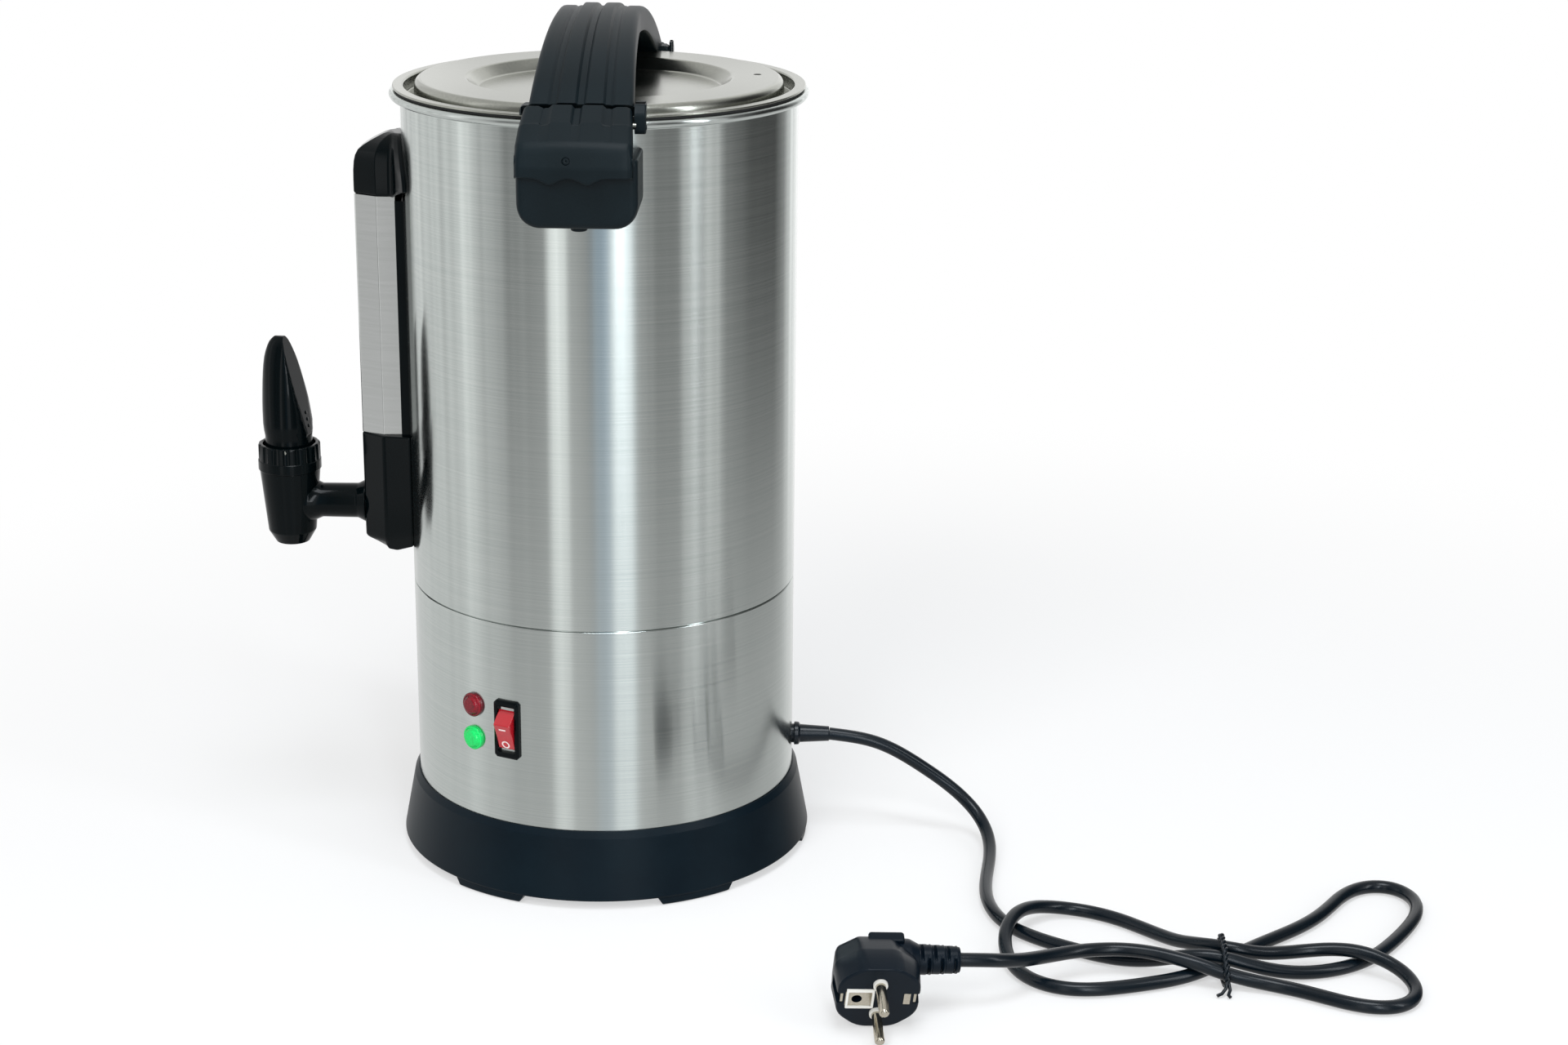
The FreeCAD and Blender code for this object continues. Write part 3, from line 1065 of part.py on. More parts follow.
def shank_washers():
    def washer(name, start, end):
        disc = put(cylinder(name + "Disc", "washerRadius", f"({end}) - ({start})"), start, 0,
                   "shankHeight", "90", Vector(0, 1, 0))
        hole = put(cylinder(name + "Hole", "threadRadius + 0.05", "60"), "shankEnd - 10", 0,
                   "shankHeight", "90", Vector(0, 1, 0))
        return cut(name + "Ring", disc, hole)
    inner = common("innerWasher", washer("inner", "washerInner", "bodyRadius + 2"),
                   cylinder("innerSpace", "bodyRadius - bodySheet", "rimTop"))
    outer = cut("outerWasher", washer("outer", "bodyRadius - 5", "shoulderReach"),
                cylinder("outerSpace", "bodyRadius", "rimTop"))
    return aim(grouped("shank_washers", inner, outer), "0")


def tap_collar():
    body = turned("collarRing", [
        ("collarInner", "barrelTop"), ("collarRadius", "barrelTop", "0.5"),
        ("collarRadius", "barrelTop + collarBand"), ("collarRadius - 0.3", "barrelTop + collarBand + 0.3"),
        ("collarRadius - 0.3", "collarTop", "0.8"), ("collarLip", "collarTop", "0.3"),
        ("collarLip", "collarTop - 3"), ("collarInner", "collarTop - 4"),
    ])
    notches = around("collarNotches", int(mm("notchCount")), lambda i: block(
        f"collarNotch{i}", "collarRadius - 0.3 - notchDepth", "collarRadius + 2", "notchWidth / 2",
        "barrelTop + collarBand + 0.3", "collarTop + 1"))
    hole = lying_cylinder("collarPinHole", "leverPinRadius + 0.01", "collarRadius + 3", 0, "pivotHeight")
    return aim(grouped("tap_collar", cut("collarCut", body, notches, hole)), "0", "tapReach")


def tap_lever():
    ball = put(bind(doc.addObject("Part::Sphere", "ball"), Radius="ballRadius"), z="pivotHeight")
    horn = turned("horn", [
        ("0", "pivotHeight"), ("hornBaseRadius", "pivotHeight"),
        ("hornBaseRadius", "collarTop + 1.5", "1"), ("hornBaseRadius * 0.72", "collarTop + 9", "12"),
        ("hornMiddleRadius", "hornMiddle", "40"), ("hornTipRadius", "hornTop", "4.5"), ("0", "hornTop"),
    ])
    low = put(cylinder("ballCutter", "ballRadius + 5", "20"), z="pivotHeight - ballCut - 20")
    hollow = put(cylinder("ballHollow", "ballHollow", "30"), z="pivotHeight - ballHollowTop - 30")
    pin = lying_cylinder("leverBore", "leverPinRadius + pinFit", "collarRadius + 5", 0, "pivotHeight")
    solid = cut("leverCut", joined("leverSolid", ball, horn), low, hollow, pin)
    return aim(grouped("tap_lever", solid), "0", "tapReach")


def lever_pin():
    pin = lying_cylinder("leverPinBody", "leverPinRadius", "collarRadius - notchDepth - 0.5", 0,
                         "pivotHeight")
    return aim(grouped("lever_pin", pin), "0", "tapReach")


def tap_stem():
    stem = turned("tap_stem", [
        ("0", "chamberFloor + seatHeightTap"), ("stemRadius", "chamberFloor + seatHeightTap"),
        ("stemRadius", "stemTop - 1.5"), ("stemHead", "stemTop - 1.5"), ("stemHead", "stemTop"),
        ("0", "stemTop"),
    ])
    return aim(stem, "0", "tapReach")


def tap_seat():
    seat = turned("tap_seat", [
        ("0", "chamberFloor + 0.05"), ("seatRadius", "chamberFloor + 0.05", "1"),
        ("seatRadius", "chamberFloor + seatHeightTap", "1"), ("0", "chamberFloor + seatHeightTap"),
    ])
    return aim(seat, "0", "tapReach")


def tap_spring():
    """Helix between the seat and the upper part of the chamber."""
    low = mm("chamberFloor + seatHeightTap + springWire * 0.55")
    high = mm("springTop - springWire * 0.55")
    radius, wire = mm("springRadius"), mm("springWire")
    turns = mm("springTurns")
    steps = int(16 * turns)
    angles = [2 * math.pi * turns * i / steps for i in range(steps + 1)]
    coil = Part.BSplineCurve()
    coil.interpolate([
        Vector(radius * math.cos(angle), radius * math.sin(angle), (high - low) * i / steps)
        for i, angle in enumerate(angles)
    ])
    heading = Vector(0, 2 * math.pi * radius, (high - low) / turns)
    section = Part.Wire([Part.Circle(Vector(radius, 0, 0), heading, wire / 2).toShape()])
    spring = doc.addObject("Part::Feature", "tap_spring")
    spring.Shape = Part.Wire(coil.toShape()).makePipeShell([section], True, False)
    spring.Placement = Placement(Vector(0, -mm("tapReach"), low), Rotation())
    return spring


def spring_stop():
    stop = ring("spring_stop", "stopHole", "mouthRadius - fit", "springTop", "stopSheet")
    return aim(stop, "0", "tapReach")


# Switch, lamps and inside

def switch_body():
    bezel = block("bezel", "bodyRadius", "bodyRadius + bezelSheet", "bezelHalfWidth",
                  "-bezelHalfHeight", "bezelHalfHeight")
    body = block("switchBox", "bodyRadius - switchDepth", "bodyRadius", "switchHalfWidth",
                 "-switchHalfHeight", "switchHalfHeight")
    well = block("switchWell", "rockerPivot - 7", "bodyRadius + 5", "rockerHalfWidth + fit",
                 "-rockerOpening", "rockerOpening")
    pivot = lying_cylinder("switchPivot", "1 + pinFit", "switchHalfWidth + 1", "rockerPivot", 0)
    return aim(grouped("switch_body", cut("switchCut", joined("switchSolid", bezel, body), well, pivot)),
               "switchAzimuth", z="switchHeight")


def switch_rocker():
    back, end, edge = ("rockerPivot - rockerBack", "rockerPivot + rockerEnd", "rockerPivot + rockerEdge")
    rocker = padded("rockerPad", "XZ_Plane", [
        (back, "-rockerHalfHeight + 1.2"), (end, "-rockerHalfHeight"),
        (edge, "-rockerEdgeHalf", "0.6"), (edge + " - rockerValley", "0"),
        (edge, "rockerEdgeHalf", "0.6"), (end, "rockerHalfHeight"),
        (back, "rockerHalfHeight - 1.2"),
    ], "2 * rockerHalfWidth", middle=True)
    trunnion = lying_cylinder("trunnion", "1", "switchHalfWidth - 0.1", "rockerPivot", 0)
    solid = joined("rockerSolid", rocker, trunnion)
    pivot = Vector(mm("rockerPivot"), 0, 0)
    tilt = Placement(Vector(), Rotation(Vector(0, 1, 0), mm("rockerTilt")), pivot)
    solid.Placement = tilt
    return aim(grouped("switch_rocker", solid), "switchAzimuth", z="switchHeight")


def lamp(name, height):
    body = turned(name, [
        ("0", "lampDepth"), ("lampStem", "lampDepth"), ("lampStem", "bodyRadius"),
        ("lampRadius", "bodyRadius"), ("lampRadius", "bodyRadius + 1.8", "0.6"),
        ("lampRadius * 0.75", "lampReach", "2"), ("0", "lampReach"),
    ])
    return aim(body, "lampAzimuth", 0, height, lying=True)


def heater_tube():
    torus = bind(doc.addObject("Part::Torus", "elementTorus"), Radius1="elementRing",
                 Radius2="elementRadius", Angle3="elementArc")
    put(torus, z="tankFloor - heaterSheet")
    ends = []
    for i, angle in enumerate((0.5, mm("elementArc") - 0.5)):
        end = put(cylinder(f"elementEnd{i}", "terminalRadius", "terminalDrop"),
                  z="tankFloor - heaterSheet - terminalDrop")
        shift = Placement(Vector(mm("elementRing"), 0, 0), Rotation())
        end.Placement = Placement(Vector(), Rotation(Vector(0, 0, 1), angle)) * shift * end.Placement
        ends.append(end)
    return joined("heater_tube", torus, *ends)


def heater_plate():
    disc = put(cylinder("heaterDisc", "heaterRadius", "heaterSheet"), z="tankFloor - heaterSheet")
    groove = bind(doc.addObject("Part::Torus", "elementGroove"), Radius1="elementRing",
                   Radius2="elementRadius + elementFit")
    put(groove, z="tankFloor - heaterSheet")
    return cut("heater_plate", disc, groove)


def thermostats():
    top = "tankFloor - heaterSheet"
    cans = [put(cylinder(f"thermostat{i}", "thermostatRadius", "thermostatHeight"), 0,
                f"{side} * thermostatPlace", f"{top} - thermostatHeight")
            for i, side in enumerate((1, -1))]
    return grouped("thermostats", *cans)


def thermal_fuse():
    return put(cylinder("thermal_fuse", "fuseRadius", "fuseLength"), "-fuseLength / 2", 0,
               "tankFloor - heaterSheet - fuseRadius", "90", Vector(0, 1, 0))


def terminal_block():
    low = "(seatHeight - baseWall)"
    return put(block("terminal_block", "0", "blockWidth", "blockLength / 2", low, f"{low} + blockHeight"),
               "blockLength / 2", "blockPlace - blockWidth / 2", low, "90")


def inner_wires():
    top = mm("seatHeight - baseWall + blockHeight")
    pin_low = mm("tankFloor - heaterSheet - terminalDrop")
    place, ring_radius = mm("blockPlace"), mm("elementRing")
    wires = []
    for i, angle in enumerate((0.5, mm("elementArc") - 0.5)):
        x = ring_radius * math.cos(math.radians(angle))
        y = ring_radius * math.sin(math.radians(angle))
        start = 8 - 12 * i
        wires.append(tube(f"heaterWire{i}", [
            (start, place, top), (start, place, top + 20), (x, y, pin_low - 25), (x, y, pin_low),
        ], "wireRadius"))
    devices = (
        ("switchWire", "switchAzimuth", "switchHeight", "bodyRadius - switchDepth", 17),
        ("redWire", "lampAzimuth", "lampRedHeight", "lampDepth", 9),
        ("greenWire", "lampAzimuth", "lampGreenHeight", "lampDepth", 1),
    )
    for name, azimuth, height, back, start in devices:
        angle = math.radians(mm(azimuth))
        outward = (math.sin(angle), -math.cos(angle))
        reach, level = mm(back), mm(height)
        wires.append(tube(name, [
            (start, place - 6, top), (start, place - 6, top + 14),
            ((reach - 26) * outward[0], (reach - 26) * outward[1], level - 4),
            ((reach - 12) * outward[0], (reach - 12) * outward[1], level),
            (reach * outward[0], reach * outward[1], level),
        ], "wireRadius"))
    face = place + mm("blockWidth") / 2
    middle = mm("seatHeight - baseWall + blockHeight / 2")
    inlet = mm("glandHeight")
    wires.append(tube("innerCord", [
        (0, mm("glandInner"), inlet), (0, mm("glandInner") - 12, inlet), (0, face + 18, inlet - 12),
        (0, face + 20, middle + 4), (0, face + 8, middle), (0, face, middle),
    ], "cordRadius"))
    return grouped("inner_wires", *wires)


# Cord and plug

def cord_gland():
    body = turned("cord_gland", [
        ("0", "glandInner"), ("glandFlange", "glandInner", "1"),
        ("glandFlange", "bodyRadius - bodySheet - fit"), ("glandHole - 0.05", "bodyRadius - bodySheet - fit"),
        ("glandHole - 0.05", "bodyRadius + 1"), ("glandRoot", "bodyRadius + 2"),
        ("glandTip", "glandReach"), ("0", "glandReach"),
    ])
    return aim(body, "180", 0, "glandHeight", lying=True)


def cord_tie():
    """Flat band round the bundle, standing across the strands."""
    x, y = TIE_PLACE
    half_x, half_z = TIE_HALF
    wall, width = mm("tieWall"), mm("tieWidth")
    outer = Part.makeBox(2 * (half_x + wall), width, 2 * half_z,
                         Vector(x - half_x - wall, y - width / 2, 0))
    inner = Part.makeBox(2 * half_x, width + 2, 2 * (half_z - wall),
                         Vector(x - half_x, y - width / 2 - 1, wall))
    band = outer.makeFillet(2.5, [edge for edge in outer.Edges if abs(edge.tangentAt(0).y) > 0.9])
    hole = inner.makeFillet(0.9, [edge for edge in inner.Edges if abs(edge.tangentAt(0).y) > 0.9])
    tie = doc.addObject("Part::Feature", "cord_tie")
    tie.Shape = band.cut(hole)
    tie.Placement = Placement()
    return tie


def plug_frame():
    """Plug's own frame: X along the strain relief, Z along the pins, origin on the face."""
    along = Vector(RELIEF_AXIS).normalize()
    tilt = math.radians(mm("plugTilt"))
    pins = Vector(math.cos(tilt), 0, -math.sin(tilt))
    pins = (pins - along * pins.dot(along)).normalize()
    end = Vector(*ROUTE[-1])
    origin = end - along * mm("reliefReach") + pins * mm("reliefBack")
    return Placement(origin, Rotation(along, Vector(), pins, "ZXY"))


def plug_body():
    disc = turned("plugDiscBody", [
        ("0", "0"), ("plugRadius", "0", "1"), ("plugRadius", "-plugDisc", "2"),
        ("plugBackRadius", "-plugDepth", "4"), ("0", "-plugDepth"),
    ])
    relief = put(turned("reliefBody", [
        ("0", "2"), ("reliefRoot", "2"), ("reliefRoot", "plugRadius + 2"), ("reliefTip", "reliefReach"),
        ("0", "reliefReach"),
    ]), 0, 0, "-reliefBack", "90", Vector(0, 1, 0))
    recesses = [block(f"clipRecess{i}", f"{a}", f"{b}", "clipHalf + 0.1", "-clipDepth", "5")
                for i, (a, b) in enumerate((("clipRecess", "plugRadius + 5"),
                                            ("-plugRadius - 5", "-clipRecess")))]
    return cut("plug_body", joined("plugSolid", disc, relief), *recesses)


def plug_pins():
    pins = []
    for i, side in enumerate((1, -1)):
        pins.append(put(turned(f"plugPin{i}", [
            ("0", "0"), ("plugPinRadius", "0"), ("plugPinRadius", "plugPinLength", "1.5"),
            ("0", "plugPinLength"),
        ]), 0, f"{side} * pinHalfSpacing"))
    return grouped("plug_pins", *pins)


def plug_collars():
    rings = [put(ring(f"plugCollar{i}", "plugPinRadius + 0.02", "collarPinRadius", "0",
                      "collarPinHeight"), 0, f"{side} * pinHalfSpacing")
             for i, side in enumerate((1, -1))]
    return grouped("plug_collars", *rings)


def plug_earth_clips():
    strips = []
    for i, side in enumerate((1, -1)):
        near = "clipRecess" if side == 1 else "-clipRecess - clipSheet"
        far = "clipRecess + clipSheet" if side == 1 else "-clipRecess"
        strips.append(block(f"earthClip{i}", near, far, "clipHalf", "-clipDepth", "-0.5"))
    return grouped("plug_earth_clips", *strips)


def plug_piece(piece):
    piece.Placement = plug_frame()
    return piece


cords = {
    name: tube(name, run, "cordRadius")
    for name, run in zip(("cord", "cord_hank", "cord_tail"), cord_runs())
}
print(f"whole cord: least gap to itself {self_gap(ROUTE, 2 * mm('cordRadius')):.2f}")

nodes = {
    "base_ring": base_ring(),
    "bottom_plate": bottom_plate(),
    "base_screws": base_screws(),
    "lower_housing": lower_housing(),
    "tank": tank(),
    "lid": lid(),
    "lid_gasket": lid_gasket(),
    "handle_grip": handle_grip(),
    "handle_screws": handle_screw_set("handle_screws", "gripScrewRadius", head=True),
    "hinge_pins": hinge_pins(),
    "latch_right": latch("latch_right", "90"),
    "latch_left": latch("latch_left", "270"),
    "bracket_right": bracket("bracket_right", "90"),
    "bracket_left": bracket("bracket_left", "270"),
    "bracket_studs": bracket_studs(),
    "gauge_backplate": gauge_backplate(),
    "gauge_cover": gauge_cover(),
    "gauge_cap": gauge_cap(),
    "gauge_shield": gauge_shield(),
    "sight_glass": sight_glass(),
    "gauge_seals": gauge_seals(),
    "tap_body": tap_body(),
    "shank_nut": shank_nut(),
    "shank_washers": shank_washers(),
    "tap_collar": tap_collar(),
    "tap_lever": tap_lever(),
    "lever_pin": lever_pin(),
    "tap_stem": tap_stem(),
    "tap_seat": tap_seat(),
    "tap_spring": tap_spring(),
    "spring_stop": spring_stop(),
    "switch_body": switch_body(),
    "switch_rocker": switch_rocker(),
    "lamp_red": lamp("lamp_red", "lampRedHeight"),
    "lamp_green": lamp("lamp_green", "lampGreenHeight"),
    "heater_plate": heater_plate(),
    "heater_tube": heater_tube(),
    "thermostats": thermostats(),
    "thermal_fuse": thermal_fuse(),
    "terminal_block": terminal_block(),
    "inner_wires": inner_wires(),
    "cord_gland": cord_gland(),
    "cord_tie": cord_tie(),
    "plug_body": plug_piece(plug_body()),
    "plug_pins": plug_piece(plug_pins()),
    "plug_collars": plug_piece(plug_collars()),
    "plug_earth_clips": plug_piece(plug_earth_clips()),
    **cords,
}
for name, piece in nodes.items():
    piece.Label = name

doc.recompute()
failed = [item.Label for item in doc.Objects if {"Invalid", "Error"} & set(item.State)]
for name, piece in nodes.items():
    shape = piece.Shape
    if shape.isNull() or not shape.isValid() or not shape.Solids:
        failed.append(name)
if failed:
    raise SystemExit(f"failed: {sorted(set(failed))}")

os.makedirs("parts", exist_ok=True)
for name, piece in nodes.items():
    piece.Shape.exportStep(f"parts/{name}.step")
print(f"{len(nodes)} sub-parts, {sum(len(piece.Shape.Solids) for piece in nodes.values())} solids")
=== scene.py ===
import json
import math

import bmesh
import bpy
from mathutils import Matrix, Vector

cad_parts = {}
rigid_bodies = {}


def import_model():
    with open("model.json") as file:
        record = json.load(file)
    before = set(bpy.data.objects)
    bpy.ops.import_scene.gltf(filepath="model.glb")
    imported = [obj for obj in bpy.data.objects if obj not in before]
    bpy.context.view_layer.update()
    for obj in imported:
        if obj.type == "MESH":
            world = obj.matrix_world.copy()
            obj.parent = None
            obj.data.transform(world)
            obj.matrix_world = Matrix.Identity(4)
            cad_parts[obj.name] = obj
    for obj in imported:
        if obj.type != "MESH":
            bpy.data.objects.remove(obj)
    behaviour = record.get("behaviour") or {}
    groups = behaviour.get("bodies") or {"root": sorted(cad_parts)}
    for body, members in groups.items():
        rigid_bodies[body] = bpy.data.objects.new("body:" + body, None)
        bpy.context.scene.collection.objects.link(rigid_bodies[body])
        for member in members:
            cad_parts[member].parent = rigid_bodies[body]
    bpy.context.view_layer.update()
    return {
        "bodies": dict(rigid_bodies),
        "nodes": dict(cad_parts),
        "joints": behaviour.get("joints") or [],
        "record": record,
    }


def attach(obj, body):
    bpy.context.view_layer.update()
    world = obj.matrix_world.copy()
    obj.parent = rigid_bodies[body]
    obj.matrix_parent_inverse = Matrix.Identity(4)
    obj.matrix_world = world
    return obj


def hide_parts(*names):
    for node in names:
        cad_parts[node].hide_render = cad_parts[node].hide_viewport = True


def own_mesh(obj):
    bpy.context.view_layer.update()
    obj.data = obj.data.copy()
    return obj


# Mulled wine urn. The tap points to -Y, the lid handle runs along X, the cord leaves at +Y.
# Sizes are in millimetres, those of the camera, the lamps and the floor in metres.

print("Loading the packed part")
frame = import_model()
nodes = frame["nodes"]
scene = bpy.context.scene
scene.view_settings.view_transform = "Standard"


# Camera

camera = {
    "azimuth": 95.0,       # side of the urn that faces the camera, in degrees
    "distance": 1.455,
    "height": 0.636,
    "pitch": 17.68,        # looking down
    "yaw": 3.73,           # turned right, so the urn stands left in the frame
    "roll": 0.526,
    "lens": 66.4,
}


def makeCamera():
    azimuth, pitch, yaw, roll = (math.radians(camera[k]) for k in ("azimuth", "pitch", "yaw", "roll"))
    ahead = Vector((-math.sin(azimuth), math.cos(azimuth), 0))
    right = Vector((math.cos(azimuth), math.sin(azimuth), 0))
    level = ahead * math.cos(yaw) + right * math.sin(yaw)
    right = right * math.cos(yaw) - ahead * math.sin(yaw)
    up = Vector((0, 0, 1))
    look = level * math.cos(pitch) - up * math.sin(pitch)
    up = level * math.sin(pitch) + up * math.cos(pitch)
    side = right * math.cos(roll) + up * math.sin(roll)
    up = up * math.cos(roll) - right * math.sin(roll)
    data = bpy.data.cameras.new("photoCamera")
    data.sensor_width = 36
    data.lens = camera["lens"]
    data.clip_start, data.clip_end = 0.05, 50
    eye = bpy.data.objects.new("photoCamera", data)
    scene.collection.objects.link(eye)
    turn = Matrix((side, up, -look)).transposed().to_4x4()
    place = Vector((math.sin(azimuth), -math.cos(azimuth), 0)) * camera["distance"]
    place.z = camera["height"]
    eye.matrix_world = Matrix.Translation(place) @ turn
    scene.camera = eye


makeCamera()


# Mains cord: the route's points in millimetres, the first at the strain relief and the last at the plug

cord = {
    "thick": 6.8,
    "shownLength": 1.299,     # metres, end to end in the photograph
}
cordRoute = [
    (0, 120, 55), (0, 132.4, 53.7), (0, 144.6, 51), (0, 154.4, 46.8), (-0.1, 163.6, 41.4),
    (-0.3, 173.2, 34.9), (0.2, 183.2, 27.9), (2.9, 192.6, 20.8), (9, 200.2, 14.4), (18.4, 204.9, 9.3),
    (30.2, 206.6, 5.9), (42.9, 206.1, 4.1), (55.7, 204.7, 3.5), (68.5, 203.2, 3.4), (81.2, 202.3, 3.5),
    (93.9, 202.4, 3.6), (106.4, 204.2, 3.6), (118.2, 208, 3.5), (128.8, 214.4, 3.4),
    (137.8, 223.1, 3.5), (145.3, 233.3, 3.5), (151.9, 244.3, 3.5), (157.8, 255.5, 3.4),
    (162.7, 267.1, 3.9), (166.5, 278.8, 5.8), (169.4, 290.5, 9.1), (172, 302.2, 11.9),
    (173.9, 314, 11.5), (174.8, 326, 8.4), (174.5, 338.2, 5.4), (173.1, 350.6, 3.8),
    (170.2, 362.8, 3.4), (165.3, 374.3, 3.4), (158.2, 384.4, 3.4), (149.2, 393.1, 3.5),
    (139, 400.5, 3.5), (128.2, 407.4, 3.5), (116.8, 413.9, 3.5), (104.8, 419.4, 3.5),
    (92.1, 422.2, 3.5), (80.4, 420.3, 3.4), (72.2, 413.2, 3.5), (70.3, 402.9, 3.4), (75.1, 392.7, 3.4),
    (84.7, 384.3, 3.5), (96, 377.4, 3.4), (106.9, 370.4, 3.4), (116.8, 362.5, 3.5),
    (125.6, 353.7, 3.5), (133.9, 344.2, 3.5), (142.2, 334.7, 3.5), (151, 325.7, 3.8),
    (160.3, 317.3, 4.4), (169.2, 308.7, 4.4), (176.7, 299.1, 3.8), (182.4, 288.2, 3.5),
    (187, 276.4, 3.5), (191.1, 264, 3.5), (194.2, 251.5, 3.5), (194.7, 239.2, 3.5),
    (191.2, 227.8, 3.5), (183.4, 218.7, 3.4), (172.5, 212.4, 3.7), (160.3, 209.1, 5.3),
    (147.8, 208.7, 8), (135.6, 211.5, 10.5), (124.1, 216.9, 10.9), (114.3, 224.7, 8.8),
    (107.8, 234.6, 5.9), (106, 246, 4), (109.1, 257.6, 3.4), (115.8, 268.4, 3.4), (124.5, 278.1, 3.4),
    (134.3, 286.6, 4.1), (144.6, 294.3, 5.9), (154.3, 301.9, 9.4), (161.7, 310.7, 12),
    (164.7, 321.1, 11.7), (163.5, 332.5, 9.2), (160.4, 344.2, 8.2), (158.6, 356, 8.8),
    (159.3, 367.9, 10.3), (162.3, 380, 11), (167.6, 391.5, 9.4), (175.8, 400.5, 6.7),
    (186.7, 404.5, 4.4), (197.8, 402.1, 3.5), (205.7, 394.1, 3.4), (207.8, 382.7, 3.5),
    (204.4, 370.8, 3.5), (197.9, 359.5, 3.5), (191.4, 348.6, 3.4), (186.9, 337.3, 3.7),
    (184.6, 325.5, 5), (182.9, 313.5, 7.4), (180.2, 301.5, 10.6), (176.2, 289.6, 12.2),
    (172, 277.5, 13), (169.6, 265.2, 13), (170.3, 252.9, 13), (174.3, 241.2, 13.6),
    (181.2, 230.8, 14.9), (189.3, 221.6, 17), (197, 213.4, 19.5), (202.7, 205.4, 22),
    (207, 196.3, 24.2), (208.5, 184, 24.8),
]


# Small tools

def linear(code):
    parts = [int(code[i:i + 2], 16) / 255 for i in (1, 3, 5)]
    return [c / 12.92 if c <= 0.04045 else ((c + 0.055) / 1.055) ** 2.4 for c in parts] + [1.0]


def link(node, inputs):
    for key, value in inputs.items():
        if isinstance(value, bpy.types.NodeSocket):
            node.id_data.links.new(value, node.inputs[key])
        else:
            node.inputs[key].default_value = value


def addNode(tree, kind, inputs=(), output=0, **settings):
    # one node with its settings and links; a list of inputs fills the sockets in their order
    node = tree.nodes.new(kind if "Node" in kind else "ShaderNode" + kind)
    for name, value in settings.items():
        if name == "stops":                        # a colour ramp's places with greys or hex colours
            marks = node.color_ramp.elements
            while len(marks) < len(value):
                marks.new(0.5)
            for mark, (spot, shade) in zip(marks, value):
                mark.position = spot
                mark.color = linear(shade) if isinstance(shade, str) else (shade, shade, shade, 1)
        else:
            setattr(node, name, value)
    link(node, inputs if isinstance(inputs, dict) else dict(enumerate(inputs)))
    return node.outputs if output is None else node.outputs[output]


def ease(value):
    value = min(max(value, 0), 1)
    return value * value * (3 - 2 * value)


def rollOff(radius, over):
    # how far a rounded edge has fallen away at a distance into it
    return radius - math.sqrt(max(radius ** 2 - max(0, over) ** 2, 0))


def mirrored(side):
    # a side and its mirror image, in the order of one closed outline
    return side + [(x, -y, *more) for x, y, *more in reversed(side)]


def rounded(corners, steps=5):
    # outline of (x, y) or (x, y, radius) corners, with an arc at each radius
    points = []
    for i, corner in enumerate(corners):
        here = Vector(corner[:2])
        radius = corner[2] if len(corner) > 2 else 0
        before = Vector(corners[i - 1][:2]) - here
        after = Vector(corners[(i + 1) % len(corners)][:2]) - here
        if not radius or before.length < 1e-6 or after.length < 1e-6:
            points.append(here)
            continue
        half = before.angle(after) / 2
        reach = min(radius / math.tan(half), 0.49 * before.length, 0.49 * after.length)
        radius = reach * math.tan(half)
        middle = here + (before.normalized() + after.normalized()).normalized() * radius / math.sin(half)
        start, end = here + before.normalized() * reach - middle, here + after.normalized() * reach - middle
        first = math.atan2(start.y, start.x)
        sweep = (math.atan2(end.y, end.x) - first + math.pi) % (2 * math.pi) - math.pi
        for k in range(steps + 1):
            angle = first + sweep * k / steps
            points.append(middle + Vector((math.cos(angle), math.sin(angle))) * radius)
    return points


def skin(rings, roundAbout=False, caps=True):
    # quads between closed rings of points
    bm = bmesh.new()
    rows = [[bm.verts.new(point) for point in ring] for ring in rings]
    pairs = list(zip(rows, rows[1:] + rows[:1] if roundAbout else rows[1:]))
    for a, b in pairs:
        for k in range(len(a)):
            n = (k + 1) % len(a)
            bm.faces.new((a[k], a[n], b[n], b[k]))
    if caps and not roundAbout:
        bm.faces.new(list(reversed(rows[0])))
        bm.faces.new(rows[-1])
    return bm


def turned(outline, steps, low=0, high=360):
    # a closed outline of (radius, height), spun round Z
    whole = high - low >= 360
    rings = []
    for i in range(steps if whole else steps + 1):
        angle = math.radians(low + (high - low) * i / steps)
        rings.append([(r * math.cos(angle), r * math.sin(angle), z) for r, z in outline])
    return skin(rings, roundAbout=whole)


def lathe(corners, steps, arc=4):
    # corners with their radii, spun to a round piece
    return turned(rounded(corners, arc), steps)


def slices(places, outlineAt):
    # outlines in XZ, one at each y
    return skin([[(x, y, z) for x, z in outlineAt(y)] for y in places])


def levels(heights, outlineAt):
    # outlines in XY, one at each height
    return skin([[(x, y, z) for x, y in outlineAt(z)] for z in heights])


def block(x, y, z, *size):
    bm = bmesh.new()
    bmesh.ops.create_cube(bm, size=1.0)
    bm.transform(Matrix.Translation((x, y, z)) @ Matrix.Diagonal((*size, 1.0)))
    return bm


def rod(radius, depth, segments):
    # a round bar along Z, with its middle at the origin
    bm = bmesh.new()
    bmesh.ops.create_cone(bm, cap_ends=True, segments=segments, radius1=radius, radius2=radius, depth=depth)
    return bm


def moved(bm, x, y, z, turn=0, axis="Z"):
    # turned by degrees about an axis through the origin, then shifted
    bm.transform(Matrix.Translation((x, y, z)) @ Matrix.Rotation(math.radians(turn), 4, axis))
    return bm


def aimed(bm, azimuth, up=0, lying=False):
    # drawn towards +X, or standing on Z when lying, and turned to its side of the urn
    bm.transform(Matrix.Rotation(math.radians(azimuth - 90), 4, "Z") @ Matrix.Translation((0, 0, up))
                 @ Matrix.Rotation(math.radians(90 if lying else 0), 4, "Y"))
    return bm


def takeMesh(bm, mesh):
    # adds a mesh that then goes
    bm.from_mesh(mesh)
    bpy.data.meshes.remove(mesh)
    return bm


